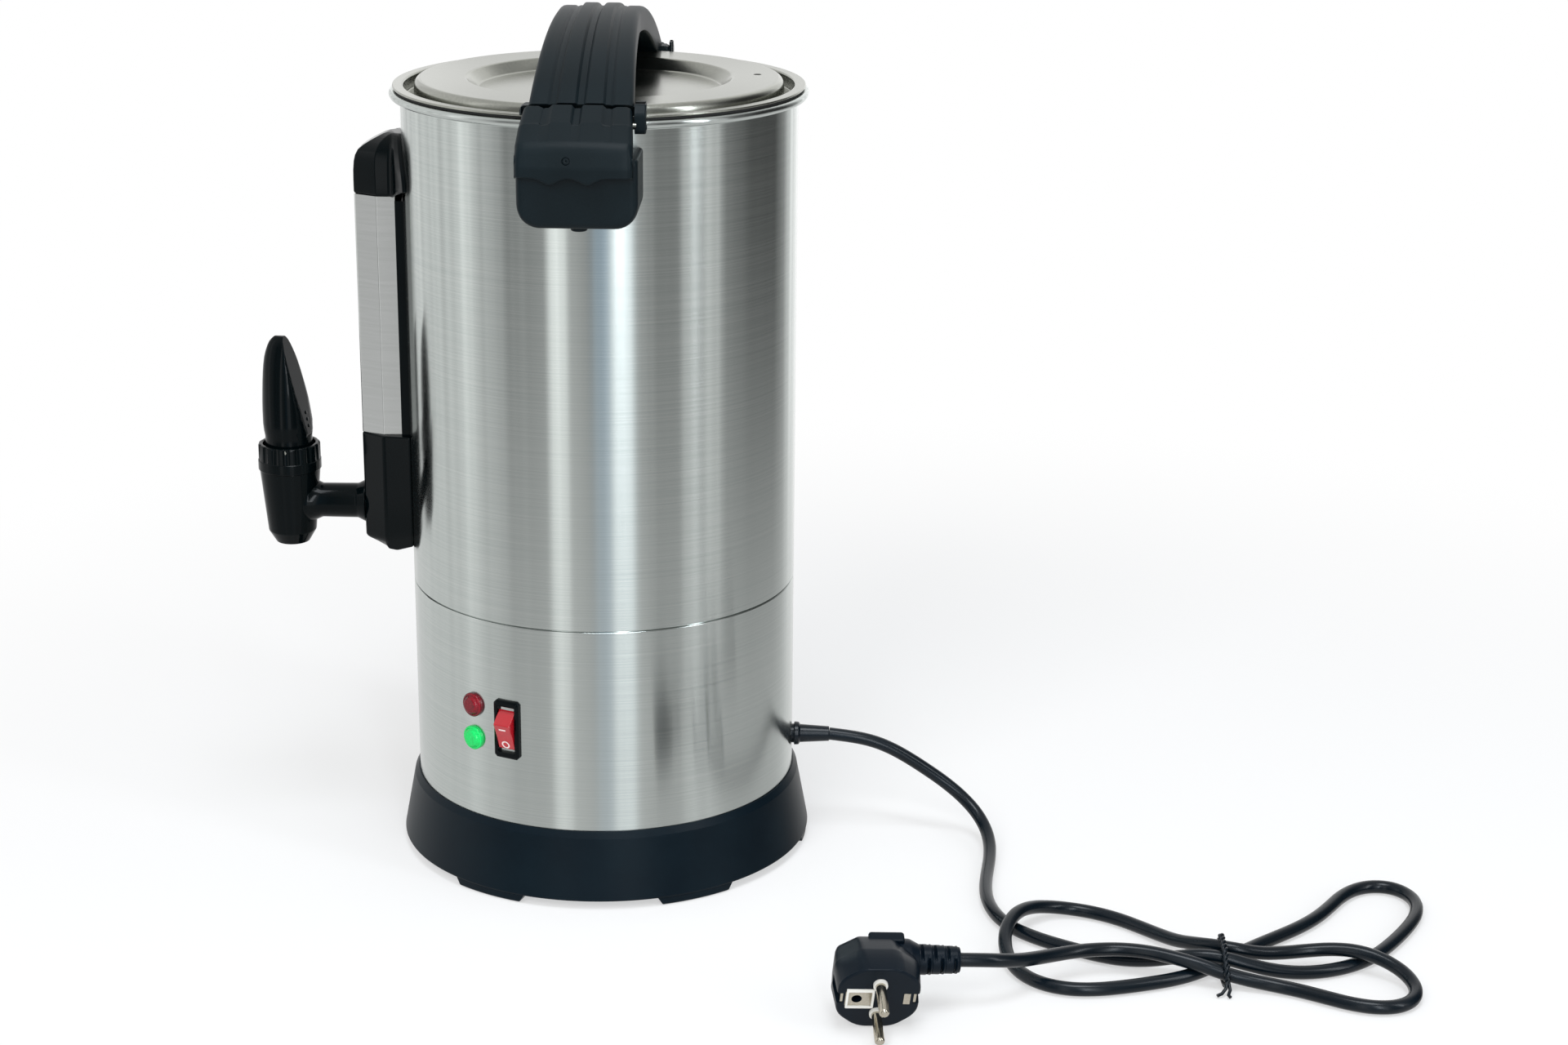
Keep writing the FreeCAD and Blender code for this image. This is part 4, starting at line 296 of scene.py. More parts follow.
def joinedUp(*parts):
    whole = bmesh.new()
    for part in parts:
        mesh = bpy.data.meshes.new("part")
        part.to_mesh(mesh)
        part.free()
        takeMesh(whole, mesh)
    return whole


def tidy(bm):
    bmesh.ops.remove_doubles(bm, verts=bm.verts, dist=0.004)
    bmesh.ops.dissolve_degenerate(bm, edges=bm.edges, dist=0.0005)
    bmesh.ops.recalc_face_normals(bm, faces=bm.faces)
    return bm


def asObject(bm, name):
    mesh = bpy.data.meshes.new(name)
    bm.to_mesh(mesh)
    bm.free()
    thing = bpy.data.objects.new(name, mesh)
    scene.collection.objects.link(thing)
    return thing


def drop(thing):
    mesh = thing.data
    bpy.data.objects.remove(thing)
    bpy.data.meshes.remove(mesh)


def readBack(thing):
    # the finished mesh of an object with its modifiers, which then goes
    mesh = bpy.data.meshes.new_from_object(thing.evaluated_get(bpy.context.evaluated_depsgraph_get()))
    drop(thing)
    return takeMesh(bmesh.new(), mesh)


def carved(bm, *tools, how="DIFFERENCE"):
    base = asObject(tidy(bm), "blank")
    others = [asObject(tidy(tool), "tool") for tool in tools]
    for other in others:
        cut = base.modifiers.new("cut", "BOOLEAN")
        cut.operation, cut.solver, cut.object = how, "EXACT", other
    result = readBack(base)
    for other in others:
        drop(other)
    return result


def repeated(bm, look, count, step, first=0.0, slide=(0, 0, 0), shrink=(0, 0, 0)):
    # Geometry Nodes: copies of one item, each turned by a step about an axis, moved along and drawn in
    item = asObject(tidy(bm), "item")
    tree = bpy.data.node_groups.new("repeatPiece", "GeometryNodeTree")
    values = {}
    for label, kind, value in (("Item", "Geometry", None), ("Count", "Int", count),
                               ("Step angle", "Float", math.radians(step)),
                               ("First angle", "Float", math.radians(first)), ("Axis", "Vector", (0, 0, 1)),
                               ("Slide", "Vector", slide), ("Shrink", "Vector", shrink)):
        socket = tree.interface.new_socket(label, in_out="INPUT", socket_type="NodeSocket" + kind)
        values[socket.identifier] = value
    tree.interface.new_socket("Result", in_out="OUTPUT", socket_type="NodeSocketGeometry")
    given = addNode(tree, "NodeGroupInput", output=None)
    number = addNode(tree, "GeometryNodeInputIndex")
    angle = addNode(tree, "Math", [number, given["Step angle"], given["First angle"]],
                    operation="MULTIPLY_ADD")
    spin = addNode(tree, "FunctionNodeAxisAngleToRotation", {"Axis": given["Axis"], "Angle": angle})
    shift = addNode(tree, "VectorMath", {0: given["Slide"], "Scale": number}, operation="SCALE")
    drawn = addNode(tree, "VectorMath", {0: given["Shrink"], "Scale": number}, operation="SCALE")
    size = addNode(tree, "VectorMath", [(1.0, 1.0, 1.0), drawn], operation="SUBTRACT")
    points = addNode(tree, "GeometryNodePoints", {"Count": given["Count"], "Position": shift})
    copies = addNode(tree, "GeometryNodeInstanceOnPoints",
                     {"Points": points, "Instance": given["Item"], "Rotation": spin, "Scale": size})
    real = addNode(tree, "GeometryNodeRealizeInstances", {"Geometry": copies})
    dressed = addNode(tree, "GeometryNodeSetMaterial", {"Geometry": real, "Material": finish[look]})
    addNode(tree, "NodeGroupOutput", [dressed], None)
    modifier = item.modifiers.new("repeat", "NODES")
    modifier.node_group = tree
    for identifier, value in values.items():
        if value is not None:
            modifier[identifier] = value
    return readBack(item)


def finishPiece(name, bm, look, standsFor=None, body="pot", crease=35, bevel=0):
    tidy(bm)
    bmesh.ops.scale(bm, vec=(0.001, 0.001, 0.001), verts=bm.verts)       # to metres
    thing = asObject(bm, name)
    mesh = thing.data
    for polygon in mesh.polygons:
        polygon.use_smooth = True
        polygon.material_index = 0
    mesh.materials.append(finish[look])
    if bevel:
        edge = thing.modifiers.new("edges", "BEVEL")
        edge.width, edge.segments = bevel * 0.001, 4
        edge.limit_method, edge.angle_limit = "ANGLE", math.radians(crease)
        edge.harden_normals = True
    else:
        mesh.set_sharp_from_angle(angle=math.radians(crease))
        thing.modifiers.new("flats", "WEIGHTED_NORMAL").keep_sharp = True    # flat faces stay flat to the eye
    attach(thing, body)
    if standsFor:
        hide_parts(standsFor)
    return thing


# Finishes: scales of noise are per metre, distances of bumps in metres

def startMaterial(name, colour, **numbers):
    material = bpy.data.materials.new(name)
    material.use_nodes = True
    tree = material.node_tree
    shader = tree.nodes["Principled BSDF"]
    link(shader, {"Base Color": linear(colour), **{key.replace("_", " "): numbers[key] for key in numbers}})
    return material, tree, shader, addNode(tree, "TexCoord", output="Object")


def steelSheet(name, light, dark, rough, drawn, grain, length, isUpright, cloud, streak, relief):
    # rings left by the brush draw each light out across them
    material, tree, shader, place = startMaterial(
        name, light, Metallic=1.0, Roughness=rough, Anisotropic=drawn)
    fine, along = 1000 / grain, 1000 / length
    stretched = addNode(tree, "Mapping", {
        "Vector": place, "Scale": (along, along, fine) if isUpright else (fine, fine, fine)})
    lines = addNode(tree, "TexNoise",
                    {"Vector": stretched, "Scale": 1.0, "Detail": 3.0, "Roughness": 0.6}, "Fac")
    clouds = addNode(tree, "TexNoise", {"Vector": place, "Scale": 11.0, "Detail": 4.0}, "Fac")
    worn = addNode(tree, "Math", [clouds, cloud, rough - cloud / 2], operation="MULTIPLY_ADD")
    around = addNode(tree, "VectorMath", [(0.0, 0.0, 1.0), place], operation="CROSS_PRODUCT")
    across = addNode(tree, "VectorMath", [addNode(tree, "NewGeometry", output="Normal"), around],
                     operation="CROSS_PRODUCT")
    link(shader, {
        "Base Color": addNode(tree, "ValToRGB", [lines], "Color", stops=[(0.25, dark), (0.75, light)]),
        "Roughness": addNode(tree, "Math", [lines, streak, worn], operation="MULTIPLY_ADD"),
        "Normal": addNode(tree, "Bump", {"Height": lines, "Strength": relief, "Distance": 0.00004}),
        "Tangent": addNode(tree, "VectorMath", [across], operation="NORMALIZE")})
    return material


def moulding(name, colour, pale, rough, grain, relief, cloud, shine=0.5, coat=0.0, index=1.5):
    # the mould's texture breaks up the sheen; clouds keep a large face from looking flat
    material, tree, shader, place = startMaterial(
        name, colour, Roughness=rough, IOR=index, Specular_IOR_Level=shine,
        Coat_Weight=coat, Coat_Roughness=0.06)
    pebble = addNode(tree, "TexNoise", {"Vector": place, "Scale": 1000 / grain, "Detail": 2.0}, "Fac")
    clouds = addNode(tree, "TexNoise", {"Vector": place, "Scale": 26.0, "Detail": 4.0}, "Fac")
    link(shader, {
        "Base Color": addNode(tree, "ValToRGB", [clouds], "Color", stops=[(0.3, colour), (0.72, pale)]),
        "Roughness": addNode(tree, "Math", [clouds, cloud, rough - cloud / 2], operation="MULTIPLY_ADD"),
        "Normal": addNode(tree, "Bump", {"Height": pebble, "Strength": relief, "Distance": 0.0001})})
    return material


def lens(name, deep, bright, glow):
    # clear cap over a coloured reflector, with painted light: paler where the cap faces the viewer, deeper
    # towards its edge, broken up by moulded cells
    material, tree, shader, place = startMaterial(
        name, deep, Roughness=0.14, IOR=1.49, Specular_IOR_Level=0.3, Coat_Weight=0.2, Coat_Roughness=0.03,
        Emission_Strength=glow, Emission_Color=linear(bright))
    # painted light: the colour follows the viewing angle, pale where the cap faces the viewer and deep at its
    # grazing edge
    facing = addNode(tree, "LayerWeight", {"Blend": 0.45}, "Facing")
    cells = addNode(tree, "TexVoronoi", {"Vector": place, "Scale": 900.0}, "Distance")
    mixed = addNode(tree, "Math", [cells, 0.35, facing], operation="MULTIPLY_ADD")
    link(shader, {
        "Base Color": addNode(tree, "ValToRGB", [mixed], "Color", stops=[(0.05, bright), (0.9, deep)]),
        "Normal": addNode(tree, "Bump", {"Height": cells, "Strength": 0.25, "Distance": 0.0003})})
    return material


def glassTube(name, colour, rough):
    material, tree, shader, place = startMaterial(
        name, colour, Roughness=rough, IOR=1.47, Transmission_Weight=1.0)
    waves = addNode(tree, "TexNoise", {"Vector": place, "Scale": 60.0, "Detail": 1.0}, "Fac")
    link(shader, {"Normal": addNode(tree, "Bump", {"Height": waves, "Strength": 0.05, "Distance": 0.0002})})
    return material


# grain and length in mm; cloud and streak change the roughness, relief is the strength of the bumps
looks = {
    steelSheet: {
        # stainless 1.4301, brushed in rings on the lathe: upright bands of light, fine level grain
        "brushedStainless": dict(
            light="#CBD0CD", dark="#BDC4C1", rough=0.15, drawn=0.95, grain=0.5, length=110, isUpright=True,
            cloud=0.02, streak=0.05, relief=0.02),
        # the same sheet pressed to a lid and buffed: softer, nearly even, warmer
        "pressedStainless": dict(
            light="#AFB0A8", dark="#A2A49C", rough=0.2, drawn=0.5, grain=1.2, length=60, isUpright=False,
            cloud=0.06, streak=0.05, relief=0.04),
        # stainless strip, polished after bending: nearly a mirror, a little wavy
        "polishedStainless": dict(
            light="#D2D4D3", dark="#CACDCB", rough=0.1, drawn=0.2, grain=1.5, length=40, isUpright=True,
            cloud=0.05, streak=0.02, relief=0.03),
        # zinc-plated mild steel: dull, slightly blue, blotched by the bath
        "zincPlatedSteel": dict(
            light="#B9BDC2", dark="#9EA3A8", rough=0.38, drawn=0.0, grain=2.5, length=20, isUpright=False,
            cloud=0.12, streak=0.05, relief=0.05),
        # nickel-plated brass: warm and bright, with turning marks
        "nickelPlatedBrass": dict(
            light="#CFC8B8", dark="#BDB6A6", rough=0.18, drawn=0.0, grain=0.8, length=12, isUpright=False,
            cloud=0.08, streak=0.04, relief=0.05),
        # die-cast aluminium: pale and rough from the mould
        "castAluminium": dict(
            light="#C3C4C4", dark="#A6A8A9", rough=0.5, drawn=0.0, grain=1.2, length=12, isUpright=False,
            cloud=0.1, streak=0.08, relief=0.3),
    },
    moulding: {
        # phenolic, moulded in a spark-eroded tool: matt, with a fine pebble and a soft grey sheen
        "phenolicMatt": dict(
            colour="#081317", pale="#0D191E", rough=0.43, grain=0.55, relief=0.4, cloud=0.1, shine=0.15),
        # polypropylene with talc: the same pebble, smoother and a little shinier
        "polypropyleneSatin": dict(
            colour="#06121A", pale="#0A1921", rough=0.38, grain=0.8, relief=0.2, cloud=0.1, shine=0.12),
        # ABS from a polished tool: deep black, sharp lights, shallow sink marks
        "absGloss": dict(
            colour="#020709", pale="#040A0C", rough=0.1, grain=5.0, relief=0.06, cloud=0.05, shine=0.12),
        # nitrile rubber: flat black, dusty
        "nitrileRubber": dict(colour="#151515", pale="#1E1E1E", rough=0.68, grain=0.7, relief=0.3, cloud=0.1),
        # silicone rubber, uncoloured: milky and soft-edged
        "siliconeMilky": dict(
            colour="#D9D8D0", pale="#E6E5DE", rough=0.42, grain=1.5, relief=0.08, cloud=0.1),
        # polyamide, natural white, moulded: even and slightly waxy
        "polyamideWhite": dict(
            colour="#E4E2DB", pale="#EEECE6", rough=0.34, grain=1.2, relief=0.08, cloud=0.1),
        # polycarbonate, dyed red and moulded smooth: bright where light falls, deep in the shade
        "polycarbonateRed": dict(
            colour="#B01824", pale="#C0202A", rough=0.2, grain=3.0, relief=0.05, cloud=0.06, shine=0.5,
            coat=0.3, index=1.58),
        # pad-printed mark in white ink, pinkish over the red
        "padPrint": dict(colour="#F2DAD7", pale="#F8E6E3", rough=0.4, grain=0.4, relief=0.1, cloud=0.05),
        # PVC sheath, drawn over its cores: half matt, with slight draw marks
        "pvcSheath": dict(
            colour="#060F16", pale="#0A151D", rough=0.24, grain=1.1, relief=0.08, cloud=0.06, shine=0.3),
        # PVC moulded over the plug: half matt with softer lights than the sheath
        "plugMoulding": dict(
            colour="#07101A", pale="#0B1720", rough=0.33, grain=0.9, relief=0.15, cloud=0.12, shine=0.15),
    },
    lens: {
        # dark acrylic lens of the lamp that is out; its bright colour is painted light where the cap faces
        # the viewer
        "acrylicRed": dict(deep="#35030C", bright="#930A20", glow=0.0),
        # the lit lamp: green all through; its bright colour is its glow and also painted light where the cap
        # faces the viewer
        "acrylicGreen": dict(deep="#008A3C", bright="#12D868", glow=0.3),
    },
    glassTube: {
        # borosilicate tube, drawn: clear, with a faint green where it is seen edge on
        "borosilicateTube": dict(colour="#F2F7F4", rough=0.02),
    },
}
finish = {name: make(name, **look) for make, rows in looks.items() for name, look in rows.items()}
print("Finishes:", len(finish))


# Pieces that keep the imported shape, mostly inside the urn

kept = {
    "zincPlatedSteel": ("bottom_plate", "base_screws", "handle_screws", "thermostats"),
    "pressedStainless": ("bracket_studs", "hinge_pins", "lever_pin", "tap_stem", "tap_spring",
                         "spring_stop", "heater_tube"),
    "castAluminium": ("heater_plate",),
    "nitrileRubber": ("shank_washers", "tap_seat"),
    "absGloss": ("gauge_backplate", "shank_nut"),
    "siliconeMilky": ("gauge_seals",),
    "polyamideWhite": ("terminal_block", "thermal_fuse", "plug_collars"),
    "pvcSheath": ("inner_wires",),
    "borosilicateTube": ("sight_glass",),
    "nickelPlatedBrass": ("plug_pins", "plug_earth_clips"),
}
for look, names in kept.items():
    for name in names:
        mesh = nodes[name].data
        mesh.materials.clear()
        mesh.materials.append(finish[look])
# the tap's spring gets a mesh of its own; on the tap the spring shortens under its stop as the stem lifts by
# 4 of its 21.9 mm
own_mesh(nodes["tap_spring"])


# Mains cord and strain relief

def makeCord():
    curve = bpy.data.curves.new("mainsCord", "CURVE")
    curve.dimensions = "3D"
    curve.bevel_depth = cord["thick"] / 2000
    curve.bevel_resolution = 5
    curve.resolution_u = 10
    curve.use_fill_caps = True
    line = curve.splines.new("NURBS")
    line.points.add(len(cordRoute) - 1)
    for point, (x, y, z) in zip(line.points, cordRoute):
        point.co = (x / 1000, y / 1000, z / 1000, 1)
    line.order_u = 3
    line.use_endpoint_u = True
    thing = bpy.data.objects.new("mainsCord", curve)
    scene.collection.objects.link(thing)
    curve.materials.append(finish["pvcSheath"])
    return thing


def makeRelief():
    body = lathe([(0, 93), (6.5, 93, 1), (6.5, 99), (5.1, 99), (5.1, 101), (6.3, 101.2, 0.6),
                  (6.1, 103.6, 0.6), (4.9, 104.4, 0.5), (3.95, 120, 0.4), (0, 120)], 64, 5)
    finishPiece("strainRelief", aimed(body, 180, cordRoute[0][2], lying=True), "pvcSheath", "cord_gland")


print("Cord")
mainsCord = makeCord()
makeRelief()
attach(mainsCord, "pot")
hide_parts("cord", "cord_hank", "cord_tail")


# Pot: base ring with feet, skirt, tank

base = {
    "lowRadius": 109.0, "topRadius": 102.8, "bore": 100.1, "wall": 2.5, "low": 4, "top": 39.5, "lip": 3.2,
    "seat": 12, "shelf": 90, "feet": 6, "footArc": 23, "footDepth": 5.4, "footIn": 0.9, "footSlope": 1.6,
}


def makeBase():
    b = base
    foot, under = b["lowRadius"] - b["wall"], b["seat"] - b["wall"]
    ring = lathe([
        (foot, b["low"], 0.4), (b["lowRadius"], b["low"], 1.0), (b["topRadius"], b["top"] - b["lip"], 1.4),
        (b["bore"] + 0.6, b["top"], 0.5), (b["bore"], b["top"], 0.2), (b["bore"], b["seat"], 0.3),
        (b["shelf"], b["seat"], 0.3), (b["shelf"], under, 0.3), (foot, under)], 256)
    half, outer = b["footArc"] / 2, b["lowRadius"] - b["footIn"]
    inner = outer - b["footDepth"]
    rings = []
    slope = b["footSlope"]
    for z, spread, draw in ((0, -slope, 0.5), (0.5, 0.3 - slope, 0), (b["low"] + 0.2, 0, 0)):
        arc = [math.radians(-half - spread + (half + spread) * 2 * i / 14) for i in range(15)]
        rings.append([(reach * math.cos(a), reach * math.sin(a), z)
                      for reach, row in ((outer - draw, arc), (inner + draw, arc[::-1])) for a in row])
    feet = repeated(skin(rings), "polypropyleneSatin", b["feet"], 360 / b["feet"], 30)
    finishPiece("baseRing", joinedUp(ring, feet), "polypropyleneSatin", "base_ring", crease=30)


drum = {
    "radius": 100, "sheet": 0.8, "seam": 146.4, "seamGap": 0.6, "floor": 152, "floorSheet": 1, "rim": 402.6,
    "bead": 4, "beadReach": 5.4, "spigotOuter": 98.9, "spigotInner": 98.1, "spigotTop": 151,
    "spigotLow": 138.4,
}


def wallAt(y, clear=0.08):
    # reach of the wall at a place across it, for a piece that stands a hair off it
    return math.sqrt((drum["radius"] + clear) ** 2 - y ** 2)


def makeDrum():
    d = drum
    outer, inner = d["radius"], d["radius"] - d["sheet"]
    skirt = lathe([
        (outer, base["seat"]), (outer, d["seam"], 0.5), (d["spigotOuter"], d["seam"]),
        (d["spigotOuter"], d["spigotTop"]), (d["spigotInner"], d["spigotTop"]),
        (d["spigotInner"], d["spigotLow"]), (inner, d["spigotLow"] - 2), (inner, base["seat"])], 256)
    rim, floor, start = d["rim"], d["floor"], d["seam"] + d["seamGap"]
    low, bead = rim - d["bead"], outer + d["beadReach"]
    tank = lathe([
        (outer, start, 0.4), (outer, low, 1.0), (bead, low, 1.95), (bead, rim, 1.95), (inner, rim, 1.5),
        (inner, floor + d["floorSheet"], 6), (0, floor + d["floorSheet"]), (0, floor), (inner, floor),
        (inner, start)], 256, 7)
    finishPiece("skirt", skirt, "brushedStainless", "lower_housing", crease=30)
    finishPiece("tankDrum", tank, "brushedStainless", "tank", crease=40)


print("Pot")
makeBase()
makeDrum()


# Lid

lidShape = {
    "flange": 103.6, "top": 405.0, "flangeSheet": 1.2, "sheet": 0.8, "trough": 398, "troughOuter": 97.9,
    "troughInner": 93.4, "ring": 408, "ringEdge": 92.2, "dish": 402.4, "dishEdge": 67, "dishFlat": 61,
    "ventHole": (-10, 79, 2),                    # x, y and radius
    "seal": (99.5, 102.8, 402.6, 403.8),         # inner and outer radius, low and top
}


def makeLid():
    s = lidShape
    under, thin = s["top"] - s["flangeSheet"], s["sheet"]
    dish, ring, trough, wall = s["dish"] - thin, s["ring"] - thin, s["trough"] - thin, s["troughOuter"] + thin
    shell = lathe([
        (s["flange"], s["top"], 0.55), (s["troughOuter"], s["top"], 1), (s["troughOuter"], s["trough"], 1),
        (s["troughInner"], s["trough"], 1), (s["ringEdge"], s["ring"], 3.5), (s["dishEdge"], s["ring"], 2.4),
        (s["dishFlat"], s["dish"], 2.6), (0, s["dish"]), (0, dish), (s["dishFlat"] + 0.4, dish, 2),
        (s["dishEdge"] + 0.4, ring, 2), (s["ringEdge"] - thin, ring, 2.7),
        (s["troughInner"] - thin, trough, 1.6), (wall, trough, 1.6), (wall, under, 0.3),
        (s["flange"], under, 0.5)], 224, 6)
    x, y, radius = s["ventHole"]
    punch = moved(turned([(0, 395), (radius, 395), (radius, 415), (0, 415)], 32), x, y, 0)
    finishPiece("lidShell", carved(shell, punch), "pressedStainless", "lid", "lid", crease=40)
    inner, outer, low, top = s["seal"]
    # seal ring in the gap under the flange: a real seal, drawn black so that it also gives the line of shade
    # in that gap
    seal = lathe([(inner, low, 0.3), (outer, low, 0.3), (outer, top, 0.3), (inner, top, 0.3)], 192, 3)
    finishPiece("lidSeal", seal, "nitrileRubber", "lid_gasket", "lid")


# Handle: an arch with raised bands, which goes on over the two latches

handle = {
    "top": 442.95, "outerRadius": 188.1, "innerRadius": 178.5, "innerMiddle": 249.7, "span": 104.5,
    "footFrom": 88, "footLow": 405.15, "middleHalf": 20.8, "endHalf": 25.0, "grooveMiddle": 10.5,
    "grooveEnd": 13.2, "grooveWidth": 4.8, "grooveDepth": 1.6, "outerDrop": 1.5, "edge": 3.0,
    "pivot": (110, 402), "latchRoom": 11.0,        # the latch's pin, and the radius it swings in
    "cheekInner": {1: 25.5, -1: 29.1}, "cheekOuter": 30.3, "cheekEnd": 30.8,
}


def bandRelief(y, groove, deep, drop):
    # depth under the crest at a place across the handle
    away = min(abs(y), abs(abs(y) - groove))
    channel = deep * ease(1 - (away - handle["grooveWidth"] * 0.26) / (handle["grooveWidth"] * 0.34))
    return channel + drop * ease((abs(y) - groove) / 3)


def acrossPlaces(half, groove, width):
    # places where a section needs a point, so that each groove keeps its edges
    marks = [0.0]
    for middle in (0.0, groove):
        for share in (0.2, 0.3, 0.42, 0.55, 0.66):
            marks += [middle - share * width, middle + share * width]
    marks += [groove / 2, groove]
    edge = [half - e for e in (0.0, 0.25, 0.9, 1.9, 3.3)] + [(groove + half) / 2 + 1.0]
    side = sorted({round(m, 3) for m in marks if 0 <= m < half - 3.6} | {round(e, 3) for e in edge})
    return [-y for y in reversed(side) if y > 0] + side


def handleSection(x):
    h = handle
    share = abs(x) / h["span"]
    half = h["middleHalf"] + (h["endHalf"] - h["middleHalf"]) * share ** 1.3
    groove = h["grooveMiddle"] + (h["grooveEnd"] - h["grooveMiddle"]) * share
    crest = h["top"] - h["outerRadius"] + math.sqrt(h["outerRadius"] ** 2 - x * x)
    belly = h["innerMiddle"] + math.sqrt(h["innerRadius"] ** 2 - x * x)
    if abs(x) > h["footFrom"]:
        belly = h["footLow"]
    top = [(y, crest - bandRelief(y, groove, h["grooveDepth"], h["outerDrop"])
            - rollOff(h["edge"], abs(y) - (half - h["edge"])))
           for y in acrossPlaces(half, groove, h["grooveWidth"])]
    room = min(3.0, (top[-1][1] - belly) * 0.6)
    low = [(half - 0.05, belly + room), (half - 0.6, belly + room * 0.4), (half - 2.2, belly + room * 0.07),
           (half / 2, belly), (0, belly)]
    under = low + [(-y, z) for y, z in reversed(low[:-1])]
    return [(x, y, z) for y, z in top + under]


def endBlock():
    # foot of the arch on the lid's flange
    draws = {405.1: 0, 407.4: 0, 408.8: 0.5, 409.6: 1.8}
    return levels(draws, lambda z: rounded([
        (92.6, -29 + draws[z], 1.5), (104.5 - draws[z] * 0.3, -29 + draws[z], 2.2),
        (104.5 - draws[z] * 0.3, 29 - draws[z], 2.2), (92.6, 29 - draws[z], 1.5)], 3))


def endTongue():
    # reaches down into the lid's trough
    return turned([(93.6, 398.2), (97.4, 398.2), (97.4, 405.6), (93.6, 405.6)], 24, -17, 17)


def hingeLug(middle):
    arm = rounded([(97.4, 405.1), (105.4, 405.1), (107, 402), (108.2, 399.6, 1.5), (111.8, 399.6, 2.6),
                   (113, 402, 2), (112.2, 404.6, 2), (106, 405.6, 1), (97.4, 406.6)], 4)
    return slices([middle - 3, middle + 3], lambda y: arm)


def cheek(side):
    # corner of the arch's end on one side of the latch, with the end of the hinge pin in it
    near, far, end = side * handle["cheekInner"][side], side * handle["cheekOuter"], side * handle["cheekEnd"]
    foot = rounded([(95, 405.3), (104.2, 405.3), (104.2, 411.3, 1.2), (95, 411.3, 0.6)], 4)
    outline = rounded([(99, 405.4), (103.4, 405.4), (103.4, 397.4, 0.8), (108.4, 397.4, 2.4),
                       (108.6, 407, 3), (104.6, 411.3, 2), (99, 411.3)], 4)
    smaller = [(103.5 + (x - 103.5) * 0.93, 404.7 + (z - 404.7) * 0.93) for x, z in outline]
    pin = lathe([(0, 28), (1.3, 28), (1.3, 31.2, 0.4), (0, 31.2)], 24, 3)
    wide, edge = sorted([near, far]), sorted([far, end])
    return joinedUp(slices(wide, lambda y: foot), slices(wide, lambda y: outline),
                    slices(edge, lambda y: outline if y == far else smaller),
                    moved(pin, 106, 0, 400.6, -90 * side, "X"))


def latchRoom(side):
    # space that the latch swings through, round its pin
    x, z = handle["pivot"]
    return moved(rod(handle["latchRoom"], 56.0, 64), side * x, 0, z, 90, "X")


def makeHandle():
    places = [handle["span"] * math.sin(math.radians(90 * (i / 36 - 1))) for i in range(73)]
    arch = skin([handleSection(x * 0.9999) for x in places])
    parts = [carved(arch, latchRoom(1), latchRoom(-1))]
    for azimuth, side in ((90, 1), (270, -1)):
        pieces = carved(endBlock(), latchRoom(1)), endTongue(), hingeLug(17), hingeLug(-17), cheek(side)
        parts += [aimed(piece, azimuth) for piece in pieces]
    finishPiece("handleArch", joinedUp(*parts), "phenolicMatt", "handle_grip", "lid", crease=38)


# Latches: they carry the handle's bands on over the end of the lid

latch = {
    "profile": [(104.7, 411.2, 0.8), (118, 404.6, 14), (131.6, 395.4, 11), (134.45, 386, 8),
                (134.45, 380, 1.2), (131.5, 380, 1.2), (131.5, 390.6, 1.5), (108, 390.6, 2), (104.6, 399)],
    "hollow": [(96, 411.5), (104.9, 408.3), (117.5, 402.2, 10), (130.2, 392.2, 3), (131.4, 389),
               (131.4, 372), (96, 372)],
    "hollowHalf": 23.5, "backHalf": 25.6, "frontHalf": 27.5, "edge": 3.4,
    "grooveOut": 14.6, "grooveEnd": 118.5, "lobe": 8.7, "lobeDrop": 3.3,
    "screw": (133.5, -3.3, 389.2), "screwTilt": 80,
    "nose": -2.3, "shift": -1.2,       # the lip's hollow and the screw stand a little to one side
}


def latchWidth(x):
    return latch["backHalf"] + (latch["frontHalf"] - latch["backHalf"]) * ease((x - 104.7) / 24)


def latchSlice(y):
    # the outline at a share of the half width, with the bands cut into its upper side
    l = latch
    points = []
    for x, z in rounded(l["profile"], 7):
        across = y * latchWidth(x)
        isOuter = z > 407.4 - (x - 104.7) * 0.63
        share = ease((z - 388) / 7) if isOuter else 0        # of what the upper side gets
        fade = ease((l["grooveEnd"] + 2.5 - x) / 4)
        edge = rollOff(l["edge"], abs(y) * l["frontHalf"] - (l["frontHalf"] - l["edge"]))
        z += share * (0.7 * (1 - y * y) * ease((x - 116) / 10) - 0.45 * (1 - fade) * y * y - edge * 0.8
                      - bandRelief(across, l["grooveOut"], handle["grooveDepth"] * fade,
                                   handle["outerDrop"] * 0.5 * fade))
        if isOuter or x > 132:
            x -= (edge * 0.8 + 0.5 * y * y) * ease((x - 124) / 8)
        if z < 384 and x > 130:
            lobes = math.exp(-((abs(across - l["nose"]) - l["lobe"]) / 4.6) ** 2)
            z += l["lobeDrop"] * (0.3 - lobes) * (384 - z) / 4
        points.append((x, z))
    return points


